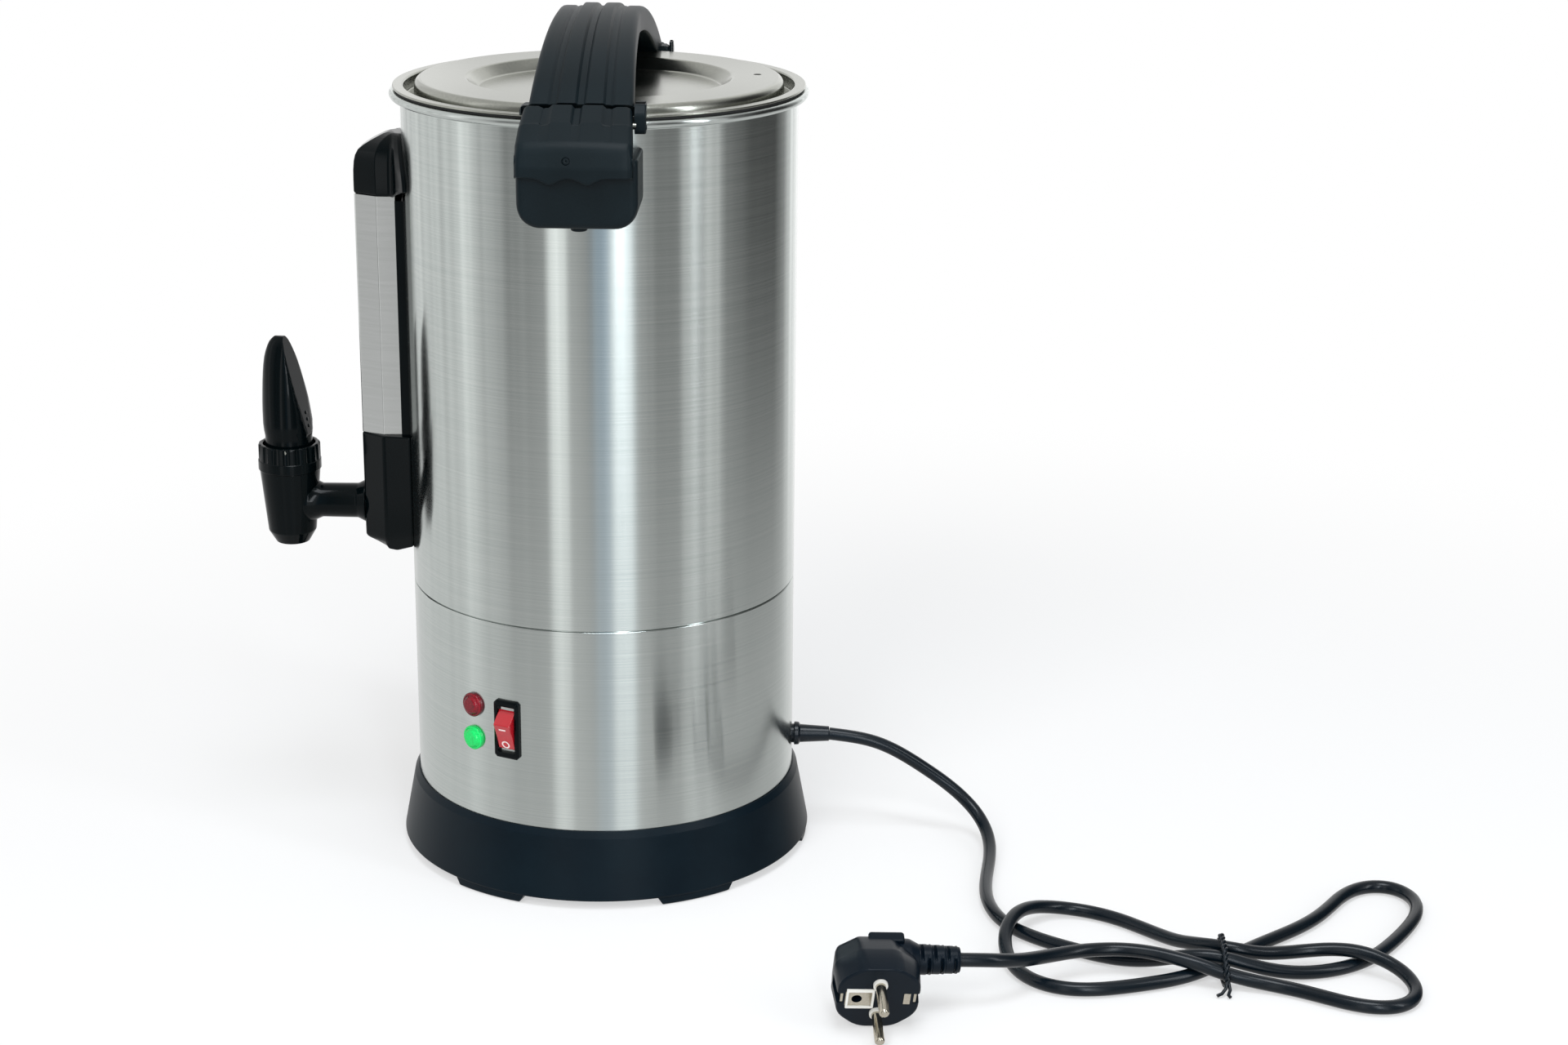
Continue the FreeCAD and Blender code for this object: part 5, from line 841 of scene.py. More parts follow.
def makeLatch(name, azimuth):
    l = latch
    groove, wide = l["grooveOut"] / l["frontHalf"], handle["grooveWidth"] / l["frontHalf"]
    shares = {0.0, 1.0, 0.995, 0.975, 0.945, 0.9, 0.8, 0.72, groove, 0.27, 0.34, 0.2, 0.62}
    for middle in (0, groove):
        shares |= {middle + s * wide for s in (-0.66, -0.55, -0.42, -0.3, 0.3, 0.42, 0.55, 0.66)}
    half = sorted({round(s, 4) for s in shares if 0 <= s <= 1})
    full = [-s for s in reversed(half) if s] + half
    body = skin([[(x, y * latchWidth(x), z) for x, z in latchSlice(y)] for y in full])
    room = rounded(l["hollow"], 5)
    dimple = lathe([(0, -4), (1.9, -4), (1.9, 1.1, 0.4), (2.5, 2.2), (0, 2.2)], 32)
    stem = lathe([(0, -3), (1.85, -3), (1.85, 0.1, 0.4), (0, 0.3, 2)], 32)
    spot = Matrix.Translation(l["screw"]) @ Matrix.Rotation(math.radians(l["screwTilt"]), 4, "Y")
    for piece, rise in ((dimple, 1.4), (stem, -0.6)):
        piece.transform(spot @ Matrix.Translation((0, 0, rise)))
    body = joinedUp(carved(body, slices([-l["hollowHalf"], l["hollowHalf"]], lambda y: room), dimple), stem)
    finishPiece(name, aimed(moved(body, 0, l["shift"], 0), azimuth), "phenolicMatt", name, name, crease=38)


# Side grips under the latches

grip = {"front": 130, "half": 28.5, "low": 356.4, "top": 389.3, "corner": 11, "edge": 3.3, "topEdge": 1.6,
        "bossReach": 119}


def gripSlice(y):
    g = grip
    into = abs(y) - g["half"]
    wall = wallAt(y)
    low = g["low"] + rollOff(g["corner"], into + g["corner"])
    front = g["front"] - rollOff(g["edge"], into + g["edge"])
    top = g["top"] - rollOff(g["topEdge"], into + g["topEdge"])
    return rounded([(wall, low, 0.2), (front, low, g["edge"]), (front, top, g["edge"]), (wall, top, 0.2)], 6)


def makeGrip(side, azimuth):
    away = [grip["half"] - e for e in (0.0, 0.15, 0.5, 1.1, 1.8, 2.8, 4.2, 6.0, 8.0, 10.0)] + [12, 6, 0]
    body = slices(sorted({-y for y in away} | set(away)), gripSlice)
    boss = moved(lathe([(0, -2.6), (4, -2.6, 1), (4, 3), (0, 3)], 32), grip["bossReach"], 0, grip["low"])
    finishPiece("sideGrip_" + side, aimed(joinedUp(body, boss), azimuth), "phenolicMatt", "bracket_" + side,
                crease=38)


print("Lid, handle, latches and side grips")
makeLid()
makeHandle()
sides = {"right": 90, "left": 270}
for side, azimuth in sides.items():
    makeLatch("latch_" + side, azimuth)
for side, azimuth in sides.items():
    makeGrip(side, azimuth)


# Sight gauge: polished cover with a slot, black cap above and shield below

gauge = {
    "front": 124.8, "frontHalf": 8.2, "corner": 112.5, "cornerHalf": 15, "back": 103, "backHalf": 15.3,
    "low": 222.8, "top": 347.8, "sheet": 1.2, "slotHalf": 3.5, "slotEnd": 10,
    "capRise": 5, "shieldLow": 158, "shieldHalf": 20, "shieldRise": 4,
}


def makeGaugeCover():
    g = gauge
    outer = rounded(mirrored([(g["back"], g["backHalf"]), (g["corner"], g["cornerHalf"], 1.2),
                              (g["front"], g["frontHalf"], 1.6)]), 4)
    inner = rounded(mirrored([(g["back"] - 4, g["backHalf"] - g["sheet"]),
                              (g["corner"] - 0.6, g["cornerHalf"] - 1.3, 1),
                              (g["front"] - g["sheet"], g["frontHalf"] - 0.7, 1)]), 4)
    outside = levels([g["low"], g["low"] + 60, g["top"]], lambda z: outer)
    inside = levels([g["low"] - 5, g["top"] + 5], lambda z: inner)
    half = g["slotHalf"]
    slot = levels([g["low"] + g["slotEnd"], g["top"] - g["slotEnd"]],
                  lambda z: [(118, -half), (130, -half), (130, half), (118, half)])
    finishPiece("gaugeCover", aimed(carved(outside, inside, slot), 0), "polishedStainless", "gauge_cover",
                crease=24)


capSections = [
    # height, reach and half width of the front, the same of the corner, half width of the side, of the flange
    (347.85, 123.9, 7.4, 112.0, 14.6, 15.4, 30.6), (348.3, 124.6, 7.9, 112.3, 15.1, 16.0, 32.2),
    (349.3, 124.9, 8.2, 112.5, 15.4, 16.3, 33.0), (355.0, 124.9, 8.3, 112.5, 15.5, 16.3, 32.3),
    (360.0, 124.8, 8.3, 112.6, 15.4, 16.2, 30.6), (364.5, 124.4, 8.0, 112.6, 15.1, 16.0, 28.0),
    (367.5, 123.7, 7.6, 112.4, 14.6, 15.6, 25.6), (370.2, 122.3, 7.1, 112.0, 13.9, 15.0, 23.0),
    (372.6, 119.4, 6.4, 111.2, 12.9, 14.1, 20.4), (374.8, 115.8, 5.6, 109.9, 11.6, 12.8, 17.8),
    (376.6, 112.4, 4.8, 108.2, 10.0, 11.2, 15.2), (378.0, 109.6, 4.0, 106.4, 8.2, 9.4, 12.6),
    (378.8, 107.2, 3.2, 104.6, 6.4, 7.4, 10.0), (379.0, 105.0, 2.4, 103.0, 4.8, 5.6, 7.6),
]


def capRing(front, frontHalf, corner, cornerHalf, sideHalf, flange):
    # from the wall round the flange, along the side and over the front
    wall, near = wallAt(flange), wallAt(flange * 0.62)
    side = [(wall, flange), (wall + 1.7, flange - 0.3, 1.0), (near + 2.9, (flange + sideHalf) / 2, 5),
            (104.4, sideHalf, 3.5), (corner, cornerHalf, 1.6), (front, frontHalf, 1.6)]
    return rounded(mirrored(side), 4)


def shieldOutline(z):
    g = gauge
    up = z - g["shieldLow"]
    front = 109 + max(0, min(1, up / 7.7)) * (g["front"] - 109)
    low = 1 - 0.22 * (1 - ease(up / 12))
    half = g["shieldHalf"] * low
    return mirrored([(wallAt(half, 0.05), half), (min(g["corner"], front - 1.5), 18 * low), (front, 9 * low)])


def makeGaugeMouldings():
    # the cap's lower edge and the shield's both rise towards the wall
    g = gauge
    capLow = capSections[0][0]
    cap = skin([
        [(p.x, p.y, z + g["capRise"] * ease((abs(p.y) - 17) / 13) * max(0, 1 - (z - capLow) / 17))
         for p in capRing(*numbers)] for z, *numbers in capSections])
    heights = g["shieldLow"], 160.5, 163, 165.7, 168, 171, 190, g["low"] - 0.05
    shield = skin([
        [(x, y, z + g["shieldRise"] * ease((112 - x) / 11) * max(0, 1 - (z - g["shieldLow"]) / 26))
         for x, y in shieldOutline(z)] for z in heights])
    finishPiece("gaugeCap", aimed(cap, 0), "absGloss", "gauge_cap", crease=50)
    finishPiece("gaugeShield", aimed(shield, 0), "absGloss", "gauge_shield", crease=20, bevel=1.3)


# Tap: barrel and shank in one, screw ring with notches, horn-shaped lever

tap = {
    "reach": 165, "shank": 182.6, "barrelTop": 200, "barrelLow": 166, "spoutLow": 160, "branch": 114.5,
    "ringLow": 200, "ringTop": 214, "ringRadius": 16.4, "ringBand": 5, "ringStep": 0.35, "notches": 16,
    "notchDepth": 0.9, "pivot": 212, "ball": 13.25, "leverTurn": 9, "flatLow": 214.5, "flatReach": 12.9,
    "flatTop": 270, "dots": (9, 12.5, 16.0),
}
leverSections = [
    # height, reach outwards, half width
    (212.4, 12.3, 12.3), (214, 12.3, 12.3), (216, 12.25, 12.25), (218, 12.2, 12.2), (221, 12.7, 12.6),
    (225, 13.0, 13.0), (232, 13.1, 12.4), (237, 13.0, 12.0), (242, 12.8, 11.4), (247, 12.55, 10.7),
    (252, 12.2, 9.8), (256, 11.8, 8.9), (260, 11.2, 7.8), (263, 10.4, 6.7), (266, 9.3, 5.4),
    (268, 8.3, 4.3), (269.5, 7.0, 3.0), (270.5, 5.9, 1.8), (270.95, 5.1, 0.8),
]


def makeTapBody():
    t = tap
    shank = moved(lathe([
        (0, 86), (8, 86, 0.8), (8, 102), (12, 102, 0.5), (12, 104, 0.5), (9, 105.5, 0.5), (9, 124.6),
        (11.2, 124.7, 0.3), (11.2, 125.4, 0.8), (9.15, 129.5, 3), (9, 148), (11.5, 154), (11.5, 162),
        (0, 162)], 96), 0, 0, t["shank"], 90, "Y")
    outside = moved(lathe([
        (0, t["spoutLow"] + 2), (6, t["spoutLow"] + 2, 0.3), (6, t["spoutLow"], 0.6),
        (8.6, t["spoutLow"], 1.0), (12.5, t["barrelLow"] + 0.6, 2.4), (15.75, t["barrelTop"], 0.3),
        (14.2, t["barrelTop"], 0.2), (14.2, 204), (12.2, 204), (12.2, 198), (9.5, 196), (9.5, 172), (6, 172),
        (6, 165), (0, 165)], 128, 5), t["reach"], 0, 0)
    branch = turned([(3.6, 182.6), (7.4, 182.6), (7.4, 200), (5.1, 200), (3.6, 196)], 48)
    solid = carved(outside, shank, how="UNION")
    whole = joinedUp(solid, moved(branch, t["branch"], 0, 0))
    finishPiece("tapBody", aimed(whole, 0), "absGloss", "tap_body", crease=32)


def makeScrewRing():
    # one sixteenth: a rib with a notch beside it, above a plain band
    t = tap
    outer, drawn, band = t["ringRadius"], t["ringRadius"] - t["ringStep"], t["ringLow"] + t["ringBand"]
    shape = rounded([
        (14.45, t["ringLow"], 0.2), (outer, t["ringLow"], 0.5), (outer, band, 0.4), (drawn, band + 0.4),
        (drawn, t["ringTop"], 1.1), (13.65, t["ringTop"], 0.5), (13.65, 211), (14.45, 210)], 4)
    step = 360 / t["notches"]
    rings = []
    for share in (0, 0.12, 0.2, 0.27, 0.38, 0.5, 0.62, 0.73, 0.8, 0.88, 1):
        angle = math.radians((share - 0.5) * step)
        dip = t["notchDepth"] * ease((0.5 - abs(share - 0.5) - 0.2) / 0.14)
        ring = []
        for r, z in shape:
            above = z - band - 0.2
            r = min(r, drawn - dip * ease(above / 0.8)) if above > 0 else r
            ring.append((r * math.cos(angle), r * math.sin(angle), z))
        rings.append(ring)
    ring = repeated(skin(rings, caps=False), "absGloss", t["notches"], step, 5)
    finishPiece("screwRing", moved(ring, 0, -t["reach"], 0), "absGloss", "tap_collar", crease=32)


def leverFace(z):
    # reach of the lever's flatter side towards the urn, slightly bellied
    share = (tap["flatTop"] - z) / (tap["flatTop"] - tap["flatLow"])
    return tap["flatReach"] * share * (1 + 0.26 * (1 - share))


def leverRing(z, out, half):
    flat = leverFace(z) if z > tap["flatLow"] else 99
    points = []
    for i in range(64):
        angle = 2 * math.pi * i / 64
        x, y = half * math.sin(angle), -out * math.cos(angle)
        if y > 0:
            y *= half / out
        points.append((x, min(y, max(flat, -out * 0.86)), z))
    return points


def makeLever():
    t = tap
    low, reach = t["flatLow"], t["flatReach"]
    ball = [(t["pivot"] + t["ball"] * math.sin(math.radians(a)), t["ball"] * math.cos(math.radians(a)))
            for a in (-42, -34, -26, -18, -10, -4)]
    sections = [(z, r, r) for z, r in ball if z < 212.2] + leverSections
    horn = skin([leverRing(*section) for section in sections])
    lean = math.degrees(math.atan2(leverFace(low) - leverFace(low + 20), 20))
    dots = [moved(lathe([(0, -1), (1.0, -1), (1.0, 0.45, 0.35), (0, 0.45)], 20, 3),
                  0, leverFace(low + up), low + up, lean - 90, "X") for up in t["dots"]]
    slot = moved(block(0, 0, 4.6, 9.0, 1.4, 1.3), 0, reach, low, lean, "X")
    horn = moved(joinedUp(carved(horn, slot), *dots), 0, -t["reach"], 0, -t["leverTurn"])
    finishPiece("tapLever", horn, "absGloss", "tap_lever", "tap_lever", crease=40)


print("Gauge and tap")
makeGaugeCover()
makeGaugeMouldings()
makeTapBody()
makeScrewRing()
makeLever()


# Switch and lamps on the skirt

switch = {
    "azimuth": 65, "height": 90.6, "pivot": 95, "tilt": 20, "bezelHalf": (7.25, 15.5), "bezelFront": 102,
    "wellHalf": (4.9, 12.35), "rockerHalf": 4.65, "markFace": 9.22, "lineUp": 4.7, "circleUp": -4.9,
}
lamp = {"azimuth": 52.7, "red": 99.6, "green": 81.7, "radius": 6.3, "top": 103.4}


def makeSwitch():
    s = switch
    wide, tall = s["bezelHalf"]
    well, deep = s["wellHalf"]
    rings = []
    for x, halfY, halfZ, cut in (
            (78, 6, 13.8, 0.6), (99.4, 6, 13.8, 0.6), (99.4, wide, tall, 1.5), (101.0, wide, tall, 1.5),
            (101.5, wide - 0.25, tall - 0.25, 1.45), (s["bezelFront"], wide - 1.0, tall - 1.0, 1.2),
            (s["bezelFront"], well + 0.35, deep + 0.35, 0.4), (101.6, well, deep, 0.3),
            (88, well, deep, 0.3)):
        side = [(halfY - cut, halfZ), (halfY, halfZ - cut), (halfY, -halfZ + cut), (halfY - cut, -halfZ)]
        rings.append([(x, y, z) for y, z in side + [(-y, z) for y, z in reversed(side)]])
    bezel = aimed(skin(rings), s["azimuth"], s["height"])
    finishPiece("switchBezel", bezel, "absGloss", "switch_body", crease=25)
    shape = rounded([(-2.5, -10.2), (1.2, -11.4, 0.6), (9.3, -7.6, 0.9), (8.9, 0, 30), (9.3, 7.6, 0.9),
                     (1.2, 11.4, 0.6), (-2.5, 10.2)], 4)
    half = s["rockerHalf"]
    key = slices([-half, -half + 0.4, half - 0.4, half], lambda y: [
        (x * (1 - 0.03 * (abs(y) > half - 0.2)), z * (1 - 0.02 * (abs(y) > half - 0.2))) for x, z in shape])
    rocker = joinedUp(key, moved(rod(1.0, half * 2 + 2.0, 20), 0, 0, 0, 90, "X"))
    loop = turned([(1.5, -0.06), (2.25, -0.06), (2.25, 0.06), (1.5, 0.06)], 40)
    marks = joinedUp(block(s["markFace"], 0, s["lineUp"], 0.12, 3.9, 0.85),
                     moved(loop, s["markFace"], 0, s["circleUp"], 90, "Y"))
    rocker, marks = (aimed(moved(piece, s["pivot"], 0, 0, s["tilt"], "Y"), s["azimuth"], s["height"])
                     for piece in (rocker, marks))
    finishPiece("switchRocker", rocker, "polycarbonateRed", "switch_rocker", "switch_rocker", crease=32)
    finishPiece("switchMarks", marks, "padPrint", body="switch_rocker")


def makeLamp(name, up, look):
    radius, top = lamp["radius"], lamp["top"]
    cap = lathe([(0, 84), (4.9, 84), (4.9, 99.7), (radius, 99.7), (radius, 101.5, 0.5), (5.4, 102.2, 0.5),
                 (5.1, 101.9), (4.6, 102.4, 1.0), (3.9, 103.35, 1.6), (0, top)], 64)
    finishPiece(name, aimed(cap, lamp["azimuth"], up, lying=True), look, name, crease=28)


print("Switch and lamps")
makeSwitch()
makeLamp("lamp_red", lamp["red"], "acrylicRed")
makeLamp("lamp_green", lamp["green"], "acrylicGreen")


# Plug: drawn lying back from its face, X along the strain relief, Z along the pins

plug = {
    "along": (-0.12, 0.99, -0.05), "tilt": 20, "reach": 41, "back": 25, "recess": 16.4,
    "pinHole": (10.2, 2.45),       # how far from the middle, and radius
    "ribs": 3, "ribPitch": 6.3, "ribRadius": 7.25, "ribShrink": 0.045, "ribStart": 21.0,
}
plugSections = [
    # depth behind the face, inset, half width, top, bottom, upper cut, corner radius
    (0.0, 0.9, 19.3, 19.0, 19.3, 8.0, 12), (0.25, 0.35, 19.3, 19.0, 19.3, 8.0, 12),
    (0.9, 0, 19.4, 19.0, 19.4, 8.0, 12), (8, 0, 19.9, 18.6, 19.4, 8.2, 10),
    (14, 0, 20.3, 17.6, 19.2, 8.6, 8), (16, 0.3, 20.2, 17.0, 18.6, 8.8, 7),
    (22, 0.6, 19.8, 14.8, 17.2, 8.4, 5), (27, 0.9, 19.2, 12.6, 15.8, 7.6, 4),
    (29.6, 1.3, 18.6, 11.6, 15.0, 7.0, 3), (30.8, 2.2, 18.2, 11.2, 14.6, 6.8, 3),
    (31.2, 3.6, 18.0, 11.0, 14.4, 6.8, 3),
]


def plugPlace():
    along = Vector(plug["along"]).normalized()
    tilt = math.radians(plug["tilt"])
    pins = Vector((math.cos(tilt), 0, -math.sin(tilt)))
    pins = (pins - along * pins.dot(along)).normalized()
    origin = Vector(cordRoute[-1]) - along * plug["reach"] + pins * plug["back"]
    return Matrix.Translation(origin) @ Matrix((along, pins.cross(along), pins)).transposed().to_4x4()


def plugOutline(inset, half, top, bottom, upperCut, corner):
    low = min(half, bottom) * 0.42
    side = [(half - upperCut * 1.35, top), (half, top - upperCut), (half, -bottom + low * 1.1),
            (half - low * 1.3, -bottom)]
    corners = [(x - inset * (1 if x > 0 else -1), y - inset * (1 if y > 0 else -1), corner)
               for x, y in side + [(-x, y) for x, y in reversed(side)]]
    return rounded(corners, 6)


def roundedBar(x0, x1, y0, y1, z0, z1, edge):
    shape = rounded([(x0, y0, edge), (x1, y0, edge), (x1, y1, edge), (x0, y1, edge)], 4)
    x, y = (x0 + x1) / 2, (y0 + y1) / 2
    return skin([
        [(x + (p.x - x) * (1 - inset / (x1 - x0) * 2), y + (p.y - y) * (1 - inset / (y1 - y0) * 2), z)
         for p in shape]
        for z, inset in ((z0, edge), (z0 + edge * 0.3, edge * 0.3), (z0 + edge, 0), (z1 - edge, 0),
                         (z1 - edge * 0.3, edge * 0.3), (z1, edge))])


def reliefRib():
    # one pitch of the strain relief: notches above and below, slots before and behind
    p = plug
    rings = []
    for step in range(22):
        share = step / 21
        x = p["ribStart"] + p["ribPitch"] * share
        upright = 1.5 * ease(1 - abs(share - 0.25) / 0.14)
        facing = 1.7 * ease(1 - abs(share - 0.75) / 0.15)
        ring = []
        for i in range(48):
            angle = 2 * math.pi * i / 48
            high, wide = abs(math.sin(angle)), abs(math.cos(angle))
            dip = upright * ease((high - 0.62) / 0.25) + facing * ease((wide - 0.55) / 0.25)
            radius = p["ribRadius"] - dip - 0.3 * ease((0.06 - min(share, 1 - share)) / 0.06)
            ring.append((x, radius * math.sin(angle), radius * math.cos(angle)))
        rings.append(ring)
    return skin(rings)


def pinHole(depth):
    x, radius = plug["pinHole"]
    return moved(turned([(0, -depth), (radius, -depth), (radius, 3), (0, 3)], 32), -x, 0, 0)


def makePlug():
    p, place = plug, plugPlace()
    body = skin([[(q.x, q.y, -depth) for q in plugOutline(*numbers)] for depth, *numbers in plugSections])
    recesses = [roundedBar(*span, -3.15, 3.15, -12.3, 3, 0.3)
                for span in ((p["recess"], 26), (-26, -p["recess"]))]
    body = carved(body, *recesses, pinHole(9))
    tab = roundedBar(-3.0, 14.0, 8.5, 12.0, -31.6, -25.4, 1.2)
    neck = lathe([(0, 6), (10.5, 6, 1), (9.6, 17, 3), (7.4, 21.2, 0.4), (5.6, 21.2), (5.2, 39.6),
                  (5.6, 39.6), (6.1, 40.2, 0.3), (6.0, 41, 0.3), (0, 41)], 48)
    ribs = repeated(reliefRib(), "pvcSheath", p["ribs"], 0, slide=(p["ribPitch"], 0, 0),
                    shrink=(0, p["ribShrink"], p["ribShrink"]))
    whole = joinedUp(body, tab, moved(neck, 0, 0, -p["back"], 90, "Y"), moved(ribs, 0, 0, -p["back"]))
    frame = carved(roundedBar(-15.2, -2.0, -6.2, 6.2, -0.6, 0.75, 0.35),
                   roundedBar(-14.2, -3.2, -4.6, 4.6, -3, 3, 0.3))
    plates = joinedUp(carved(roundedBar(-15.6, -3.0, -4.5, 4.5, -0.5, 0.3, 0.2), pinHole(4)),
                      roundedBar(11.8, 15.0, -3.4, 3.4, -0.5, 0.35, 0.15))
    for piece in (whole, frame, plates):
        piece.transform(place)
    return [finishPiece("plugBody", whole, "plugMoulding", "plug_body", crease=33),
            finishPiece("plugEarthFrame", frame, "polyamideWhite"),
            finishPiece("plugContacts", plates, "nickelPlatedBrass")]


# Twist tie round the bundle

tie = {
    "y": 313.6, "clear": 0.35, "wire": 0.85, "twist": 0.8, "turns": 11,
    "ends": [[(187.5, 0.3, 6.5), (190.8, -0.6, 3.6), (192.6, -2.6, 1.7), (193.6, -5.0, 1.0)],
             [(187.5, 0.9, 5.6), (191.0, 1.4, 2.8), (193.4, 0.4, 1.4), (194.8, 1.2, 0.95)]],
    "strands": [(173.9, 11.5), (164.4, 4.4), (162.8, 12.0), (182.9, 7.4)],    # x and z where the cord passes
}


def tieLoop(away):
    # the shortest line round all the strands at a distance, kept off the floor
    spots = []
    for x, z in tie["strands"]:
        for i in range(40):
            angle = 2 * math.pi * i / 40
            spots.append((x + away * math.cos(angle), max(0.25, z + away * math.sin(angle))))
    spots.sort()
    loop = []
    for row in (spots, spots[::-1]):
        hull = []
        for x, z in row:
            while len(hull) > 1 and ((hull[-1][0] - hull[-2][0]) * (z - hull[-2][1])
                                     - (hull[-1][1] - hull[-2][1]) * (x - hull[-2][0])) <= 1e-9:
                hull.pop()
            hull.append((x, z))
        loop += hull[:-1]
    return loop


def evenly(loop, count):
    # points at even steps round a closed line
    closed = [Vector(p) for p in loop] + [Vector(loop[0])]
    runs = [0.0]
    for a, b in zip(closed, closed[1:]):
        runs.append(runs[-1] + (b - a).length)
    points, at = [], 0
    for i in range(count):
        goal = runs[-1] * i / count
        while runs[at + 1] < goal:
            at += 1
        share = (goal - runs[at]) / max(runs[at + 1] - runs[at], 1e-9)
        points.append(closed[at].lerp(closed[at + 1], share))
    return points


def wire(path, radius, isClosed=False):
    # a round wire along a line of points that never runs along Y
    rings = []
    for i, spot in enumerate(path):
        before = path[i - 1] if i or isClosed else spot
        after = path[(i + 1) % len(path)] if i + 1 < len(path) or isClosed else spot
        side = (after - before).cross(Vector((0, 1, 0))).normalized()
        up = side.cross(after - before).normalized()
        ring = [spot + (side * math.cos(a) + up * math.sin(a)) * radius
                for a in (2 * math.pi * k / 12 for k in range(12))]
        rings.append([(p.x, p.y, max(p.z, 0.05)) for p in ring])
    return skin(rings, roundAbout=isClosed)


def makeTie():
    # two wires twisted round each other in a loop, with short bent ends at the front
    t = tie
    inside = evenly(tieLoop(cord["thick"] / 2 + t["clear"] + t["wire"] + t["twist"] * 0.8), 132)
    parts = []
    for phase in (0, math.pi):
        path = []
        for i, spot in enumerate(inside):
            along = inside[(i + 1) % len(inside)] - inside[i - 1]
            outward = Vector((along.y, 0, -along.x)).normalized()
            angle = 2 * math.pi * t["turns"] * i / len(inside) + phase
            path.append(Vector((spot.x, t["y"], max(spot.y, 1.0)))
                        + (outward * math.cos(angle) + Vector((0, math.sin(angle), 0))) * t["twist"])
        parts.append(wire(path, t["wire"], isClosed=True))
    parts += [wire([Vector((x, t["y"] + y, z)) for x, y, z in points], t["wire"]) for points in t["ends"]]
    return finishPiece("bundleTie", joinedUp(*parts), "pvcSheath", "cord_tie", crease=50)


print("Plug and tie")
plugPieces = makePlug()
bundleTie = makeTie()


# Floor, world and lamps

studio = {
    "floorRadius": 6.0, "floorHeight": -0.0004, "floor": "#FAFAFA",
    # the floor shows the urn's shade near this place and turns to plain white further out
    "floorMiddle": (0.05, 0.15, 0), "nearShade": 0.3, "farShade": 0.9, "nearGlow": 0.5,
    # strips seen in the metal, by direction from +X towards +Y in degrees
    "bands": [(-180, 0.7), (-150, 0.5), (-120, 0.55), (-96, 0.5), (-86, 0.6), (-79, 0.72), (-71, 0.48),
              (-60, 0.35), (-50, 0.16), (-28, 0.2), (-24, 0.95), (-18, 0.95), (-14, 0.36), (-4, 0.22),
              (3, "#788A9A"), (8, "#8C9DAD"), (11, "#F4FAFF"), (21, "#F4FAFF"), (26, 0.25), (38, 0.1),
              (50, 0.1), (54, 0.45), (60, 0.42), (66, 0.32), (70, 0.5), (75, 0.48), (81, 0.12), (102, 0.02),
              (126, 0.03), (138, 0.2), (150, 0.65), (180, 0.7)],
    "lineScale": 13.0, "lineDepth": 0.2,           # finer lines within the strips
    "table": 0.47, "dome": 0.42, "tableShare": 0.9, "stripStrength": 1.6, "ambient": 0.42,
}
lamps = [
    # name, direction from +X towards +Y, distance, height, width, tall, watts, mirrored by the metal
    ("keySoftbox", -22, 2.3, 1.9, 1.2, 1.2, 28, False), ("frontStrip", 15, 2.4, 1.1, 0.25, 1.8, 12, True),
    ("sideStrip", 60, 2.2, 1.2, 0.3, 1.6, 10, True), ("topSoftbox", 15, 0.8, 2.5, 1.0, 1.0, 24, True),
]
white = (1, 1, 1, 1)


def makeWorld():
    s = studio
    world = bpy.data.worlds.new("studio")
    scene.world = world
    world.use_nodes = True
    tree = world.node_tree
    tree.nodes.clear()
    way = addNode(tree, "SeparateXYZ", [addNode(tree, "TexCoord", output="Generated")], None)
    angle = addNode(tree, "Math", [way[1], way[0]], operation="ARCTAN2")
    share = addNode(tree, "Math", [angle, 1 / (2 * math.pi), 0.5], operation="MULTIPLY_ADD")
    strips = addNode(tree, "ValToRGB", [share], "Color",
                     stops=[((degrees + 180) / 360, shade) for degrees, shade in s["bands"]])
    # noise over the direction gives each strip its thin lines
    wave = addNode(tree, "TexNoise", {"W": angle, "Scale": s["lineScale"], "Detail": 3.0}, "Fac",
                   noise_dimensions="1D")
    line = addNode(tree, "MapRange", {"Value": wave, "From Min": 0.35, "From Max": 0.65,
                                      "To Min": 1 - s["lineDepth"], "To Max": 1 + s["lineDepth"]})
    lined = addNode(tree, "VectorMath", {0: strips, "Scale": line}, operation="SCALE")
    down = addNode(tree, "MapRange", {"Value": way[2], "From Min": -0.2, "From Max": -0.38, "To Min": 0.0,
                                      "To Max": s["tableShare"]}, interpolation_type="SMOOTHSTEP")
    table = addNode(tree, "Mix", {"Factor": down, "A": lined, "B": (s["table"], s["table"], s["table"], 1)},
                    "Result", data_type="RGBA")
    up = addNode(tree, "MapRange", {"Value": way[2], "From Min": 0.5, "From Max": 0.9})
    dome = addNode(tree, "Mix", {"Factor": up, "A": table, "B": (s["dome"], s["dome"], s["dome"], 1)},
                   "Result", data_type="RGBA")
    mirroredLight = addNode(tree, "Background", [dome, s["stripStrength"]])
    plainLight = addNode(tree, "Background", [white, s["ambient"]])
    ray = addNode(tree, "LightPath", output=None)
    light = addNode(tree, "MixShader", [ray["Is Glossy Ray"], plainLight, mirroredLight])
    seen = addNode(tree, "Math", [ray["Is Camera Ray"], ray["Is Transmission Ray"]], operation="MAXIMUM")
    whole = addNode(tree, "MixShader", [seen, light, addNode(tree, "Background", [white, 1.0])])
    addNode(tree, "OutputWorld", {"Surface": whole}, None)


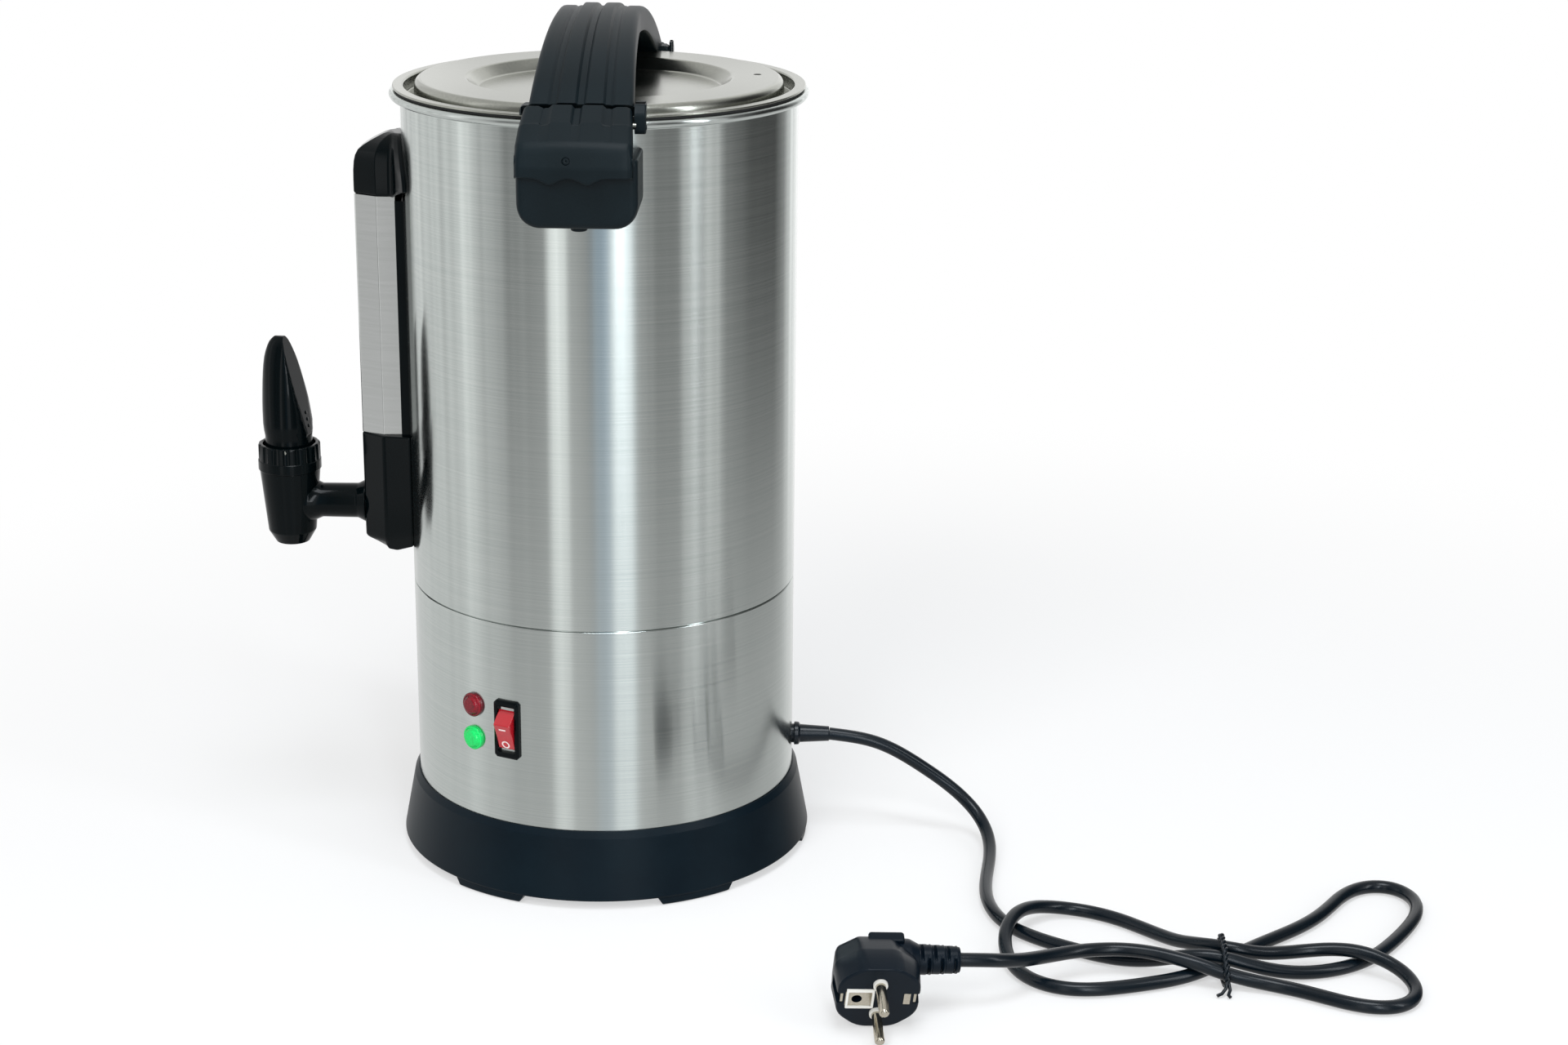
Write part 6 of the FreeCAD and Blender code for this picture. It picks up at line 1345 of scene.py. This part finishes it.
def makeFloor():
    s = studio
    bm = bmesh.new()
    bmesh.ops.create_circle(bm, cap_ends=True, segments=96, radius=s["floorRadius"])
    floor = asObject(moved(bm, 0, 0, s["floorHeight"]), "studioFloor")
    material = bpy.data.materials.new("paintedFloor")
    material.use_nodes = True
    tree = material.node_tree
    tree.nodes.clear()
    shift = addNode(tree, "VectorMath", [addNode(tree, "TexCoord", output="Object"), s["floorMiddle"]],
                    operation="SUBTRACT")
    reach = addNode(tree, "VectorMath", [shift], "Value", operation="LENGTH")
    far = addNode(tree, "MapRange", {"Value": reach, "From Min": s["nearShade"], "From Max": s["farShade"],
                                     "To Min": s["nearGlow"]}, interpolation_type="SMOOTHSTEP")
    ray = addNode(tree, "LightPath", output=None)
    seen = addNode(tree, "Math", [ray["Is Camera Ray"], ray["Is Glossy Ray"]], operation="MAXIMUM")
    seen = addNode(tree, "Math", [seen, ray["Is Transmission Ray"]], operation="MAXIMUM")
    blend = addNode(tree, "Math", [far, seen], operation="MULTIPLY")
    matt = addNode(tree, "BsdfDiffuse", {"Color": linear(s["floor"])})
    glow = addNode(tree, "Emission", {"Color": white, "Strength": 1.0})
    mixed = addNode(tree, "MixShader", [blend, matt, glow])
    addNode(tree, "OutputMaterial", {"Surface": mixed}, None)
    floor.data.materials.append(material)
    floor.visible_glossy = False                   # metal mirrors the studio's strips, down to the floor line


def makeLamps():
    for name, azimuth, distance, up, width, tall, watts, isMirrored in lamps:
        data = bpy.data.lights.new(name, "AREA")
        data.shape, data.size, data.size_y, data.energy = "RECTANGLE", width, tall, watts
        data.color = (0.9, 0.95, 1.0) if isMirrored else (1, 1, 1)
        lampObject = bpy.data.objects.new(name, data)
        scene.collection.objects.link(lampObject)
        lampObject.visible_glossy = isMirrored
        angle = math.radians(azimuth)
        place = Vector((math.cos(angle) * distance, math.sin(angle) * distance, up))
        aim = (Vector((0, 0, 0.22)) - place).to_track_quat("-Z", "Y")
        lampObject.matrix_world = Matrix.Translation(place) @ aim.to_matrix().to_4x4()


print("Studio")
makeWorld()
makeFloor()
makeLamps()
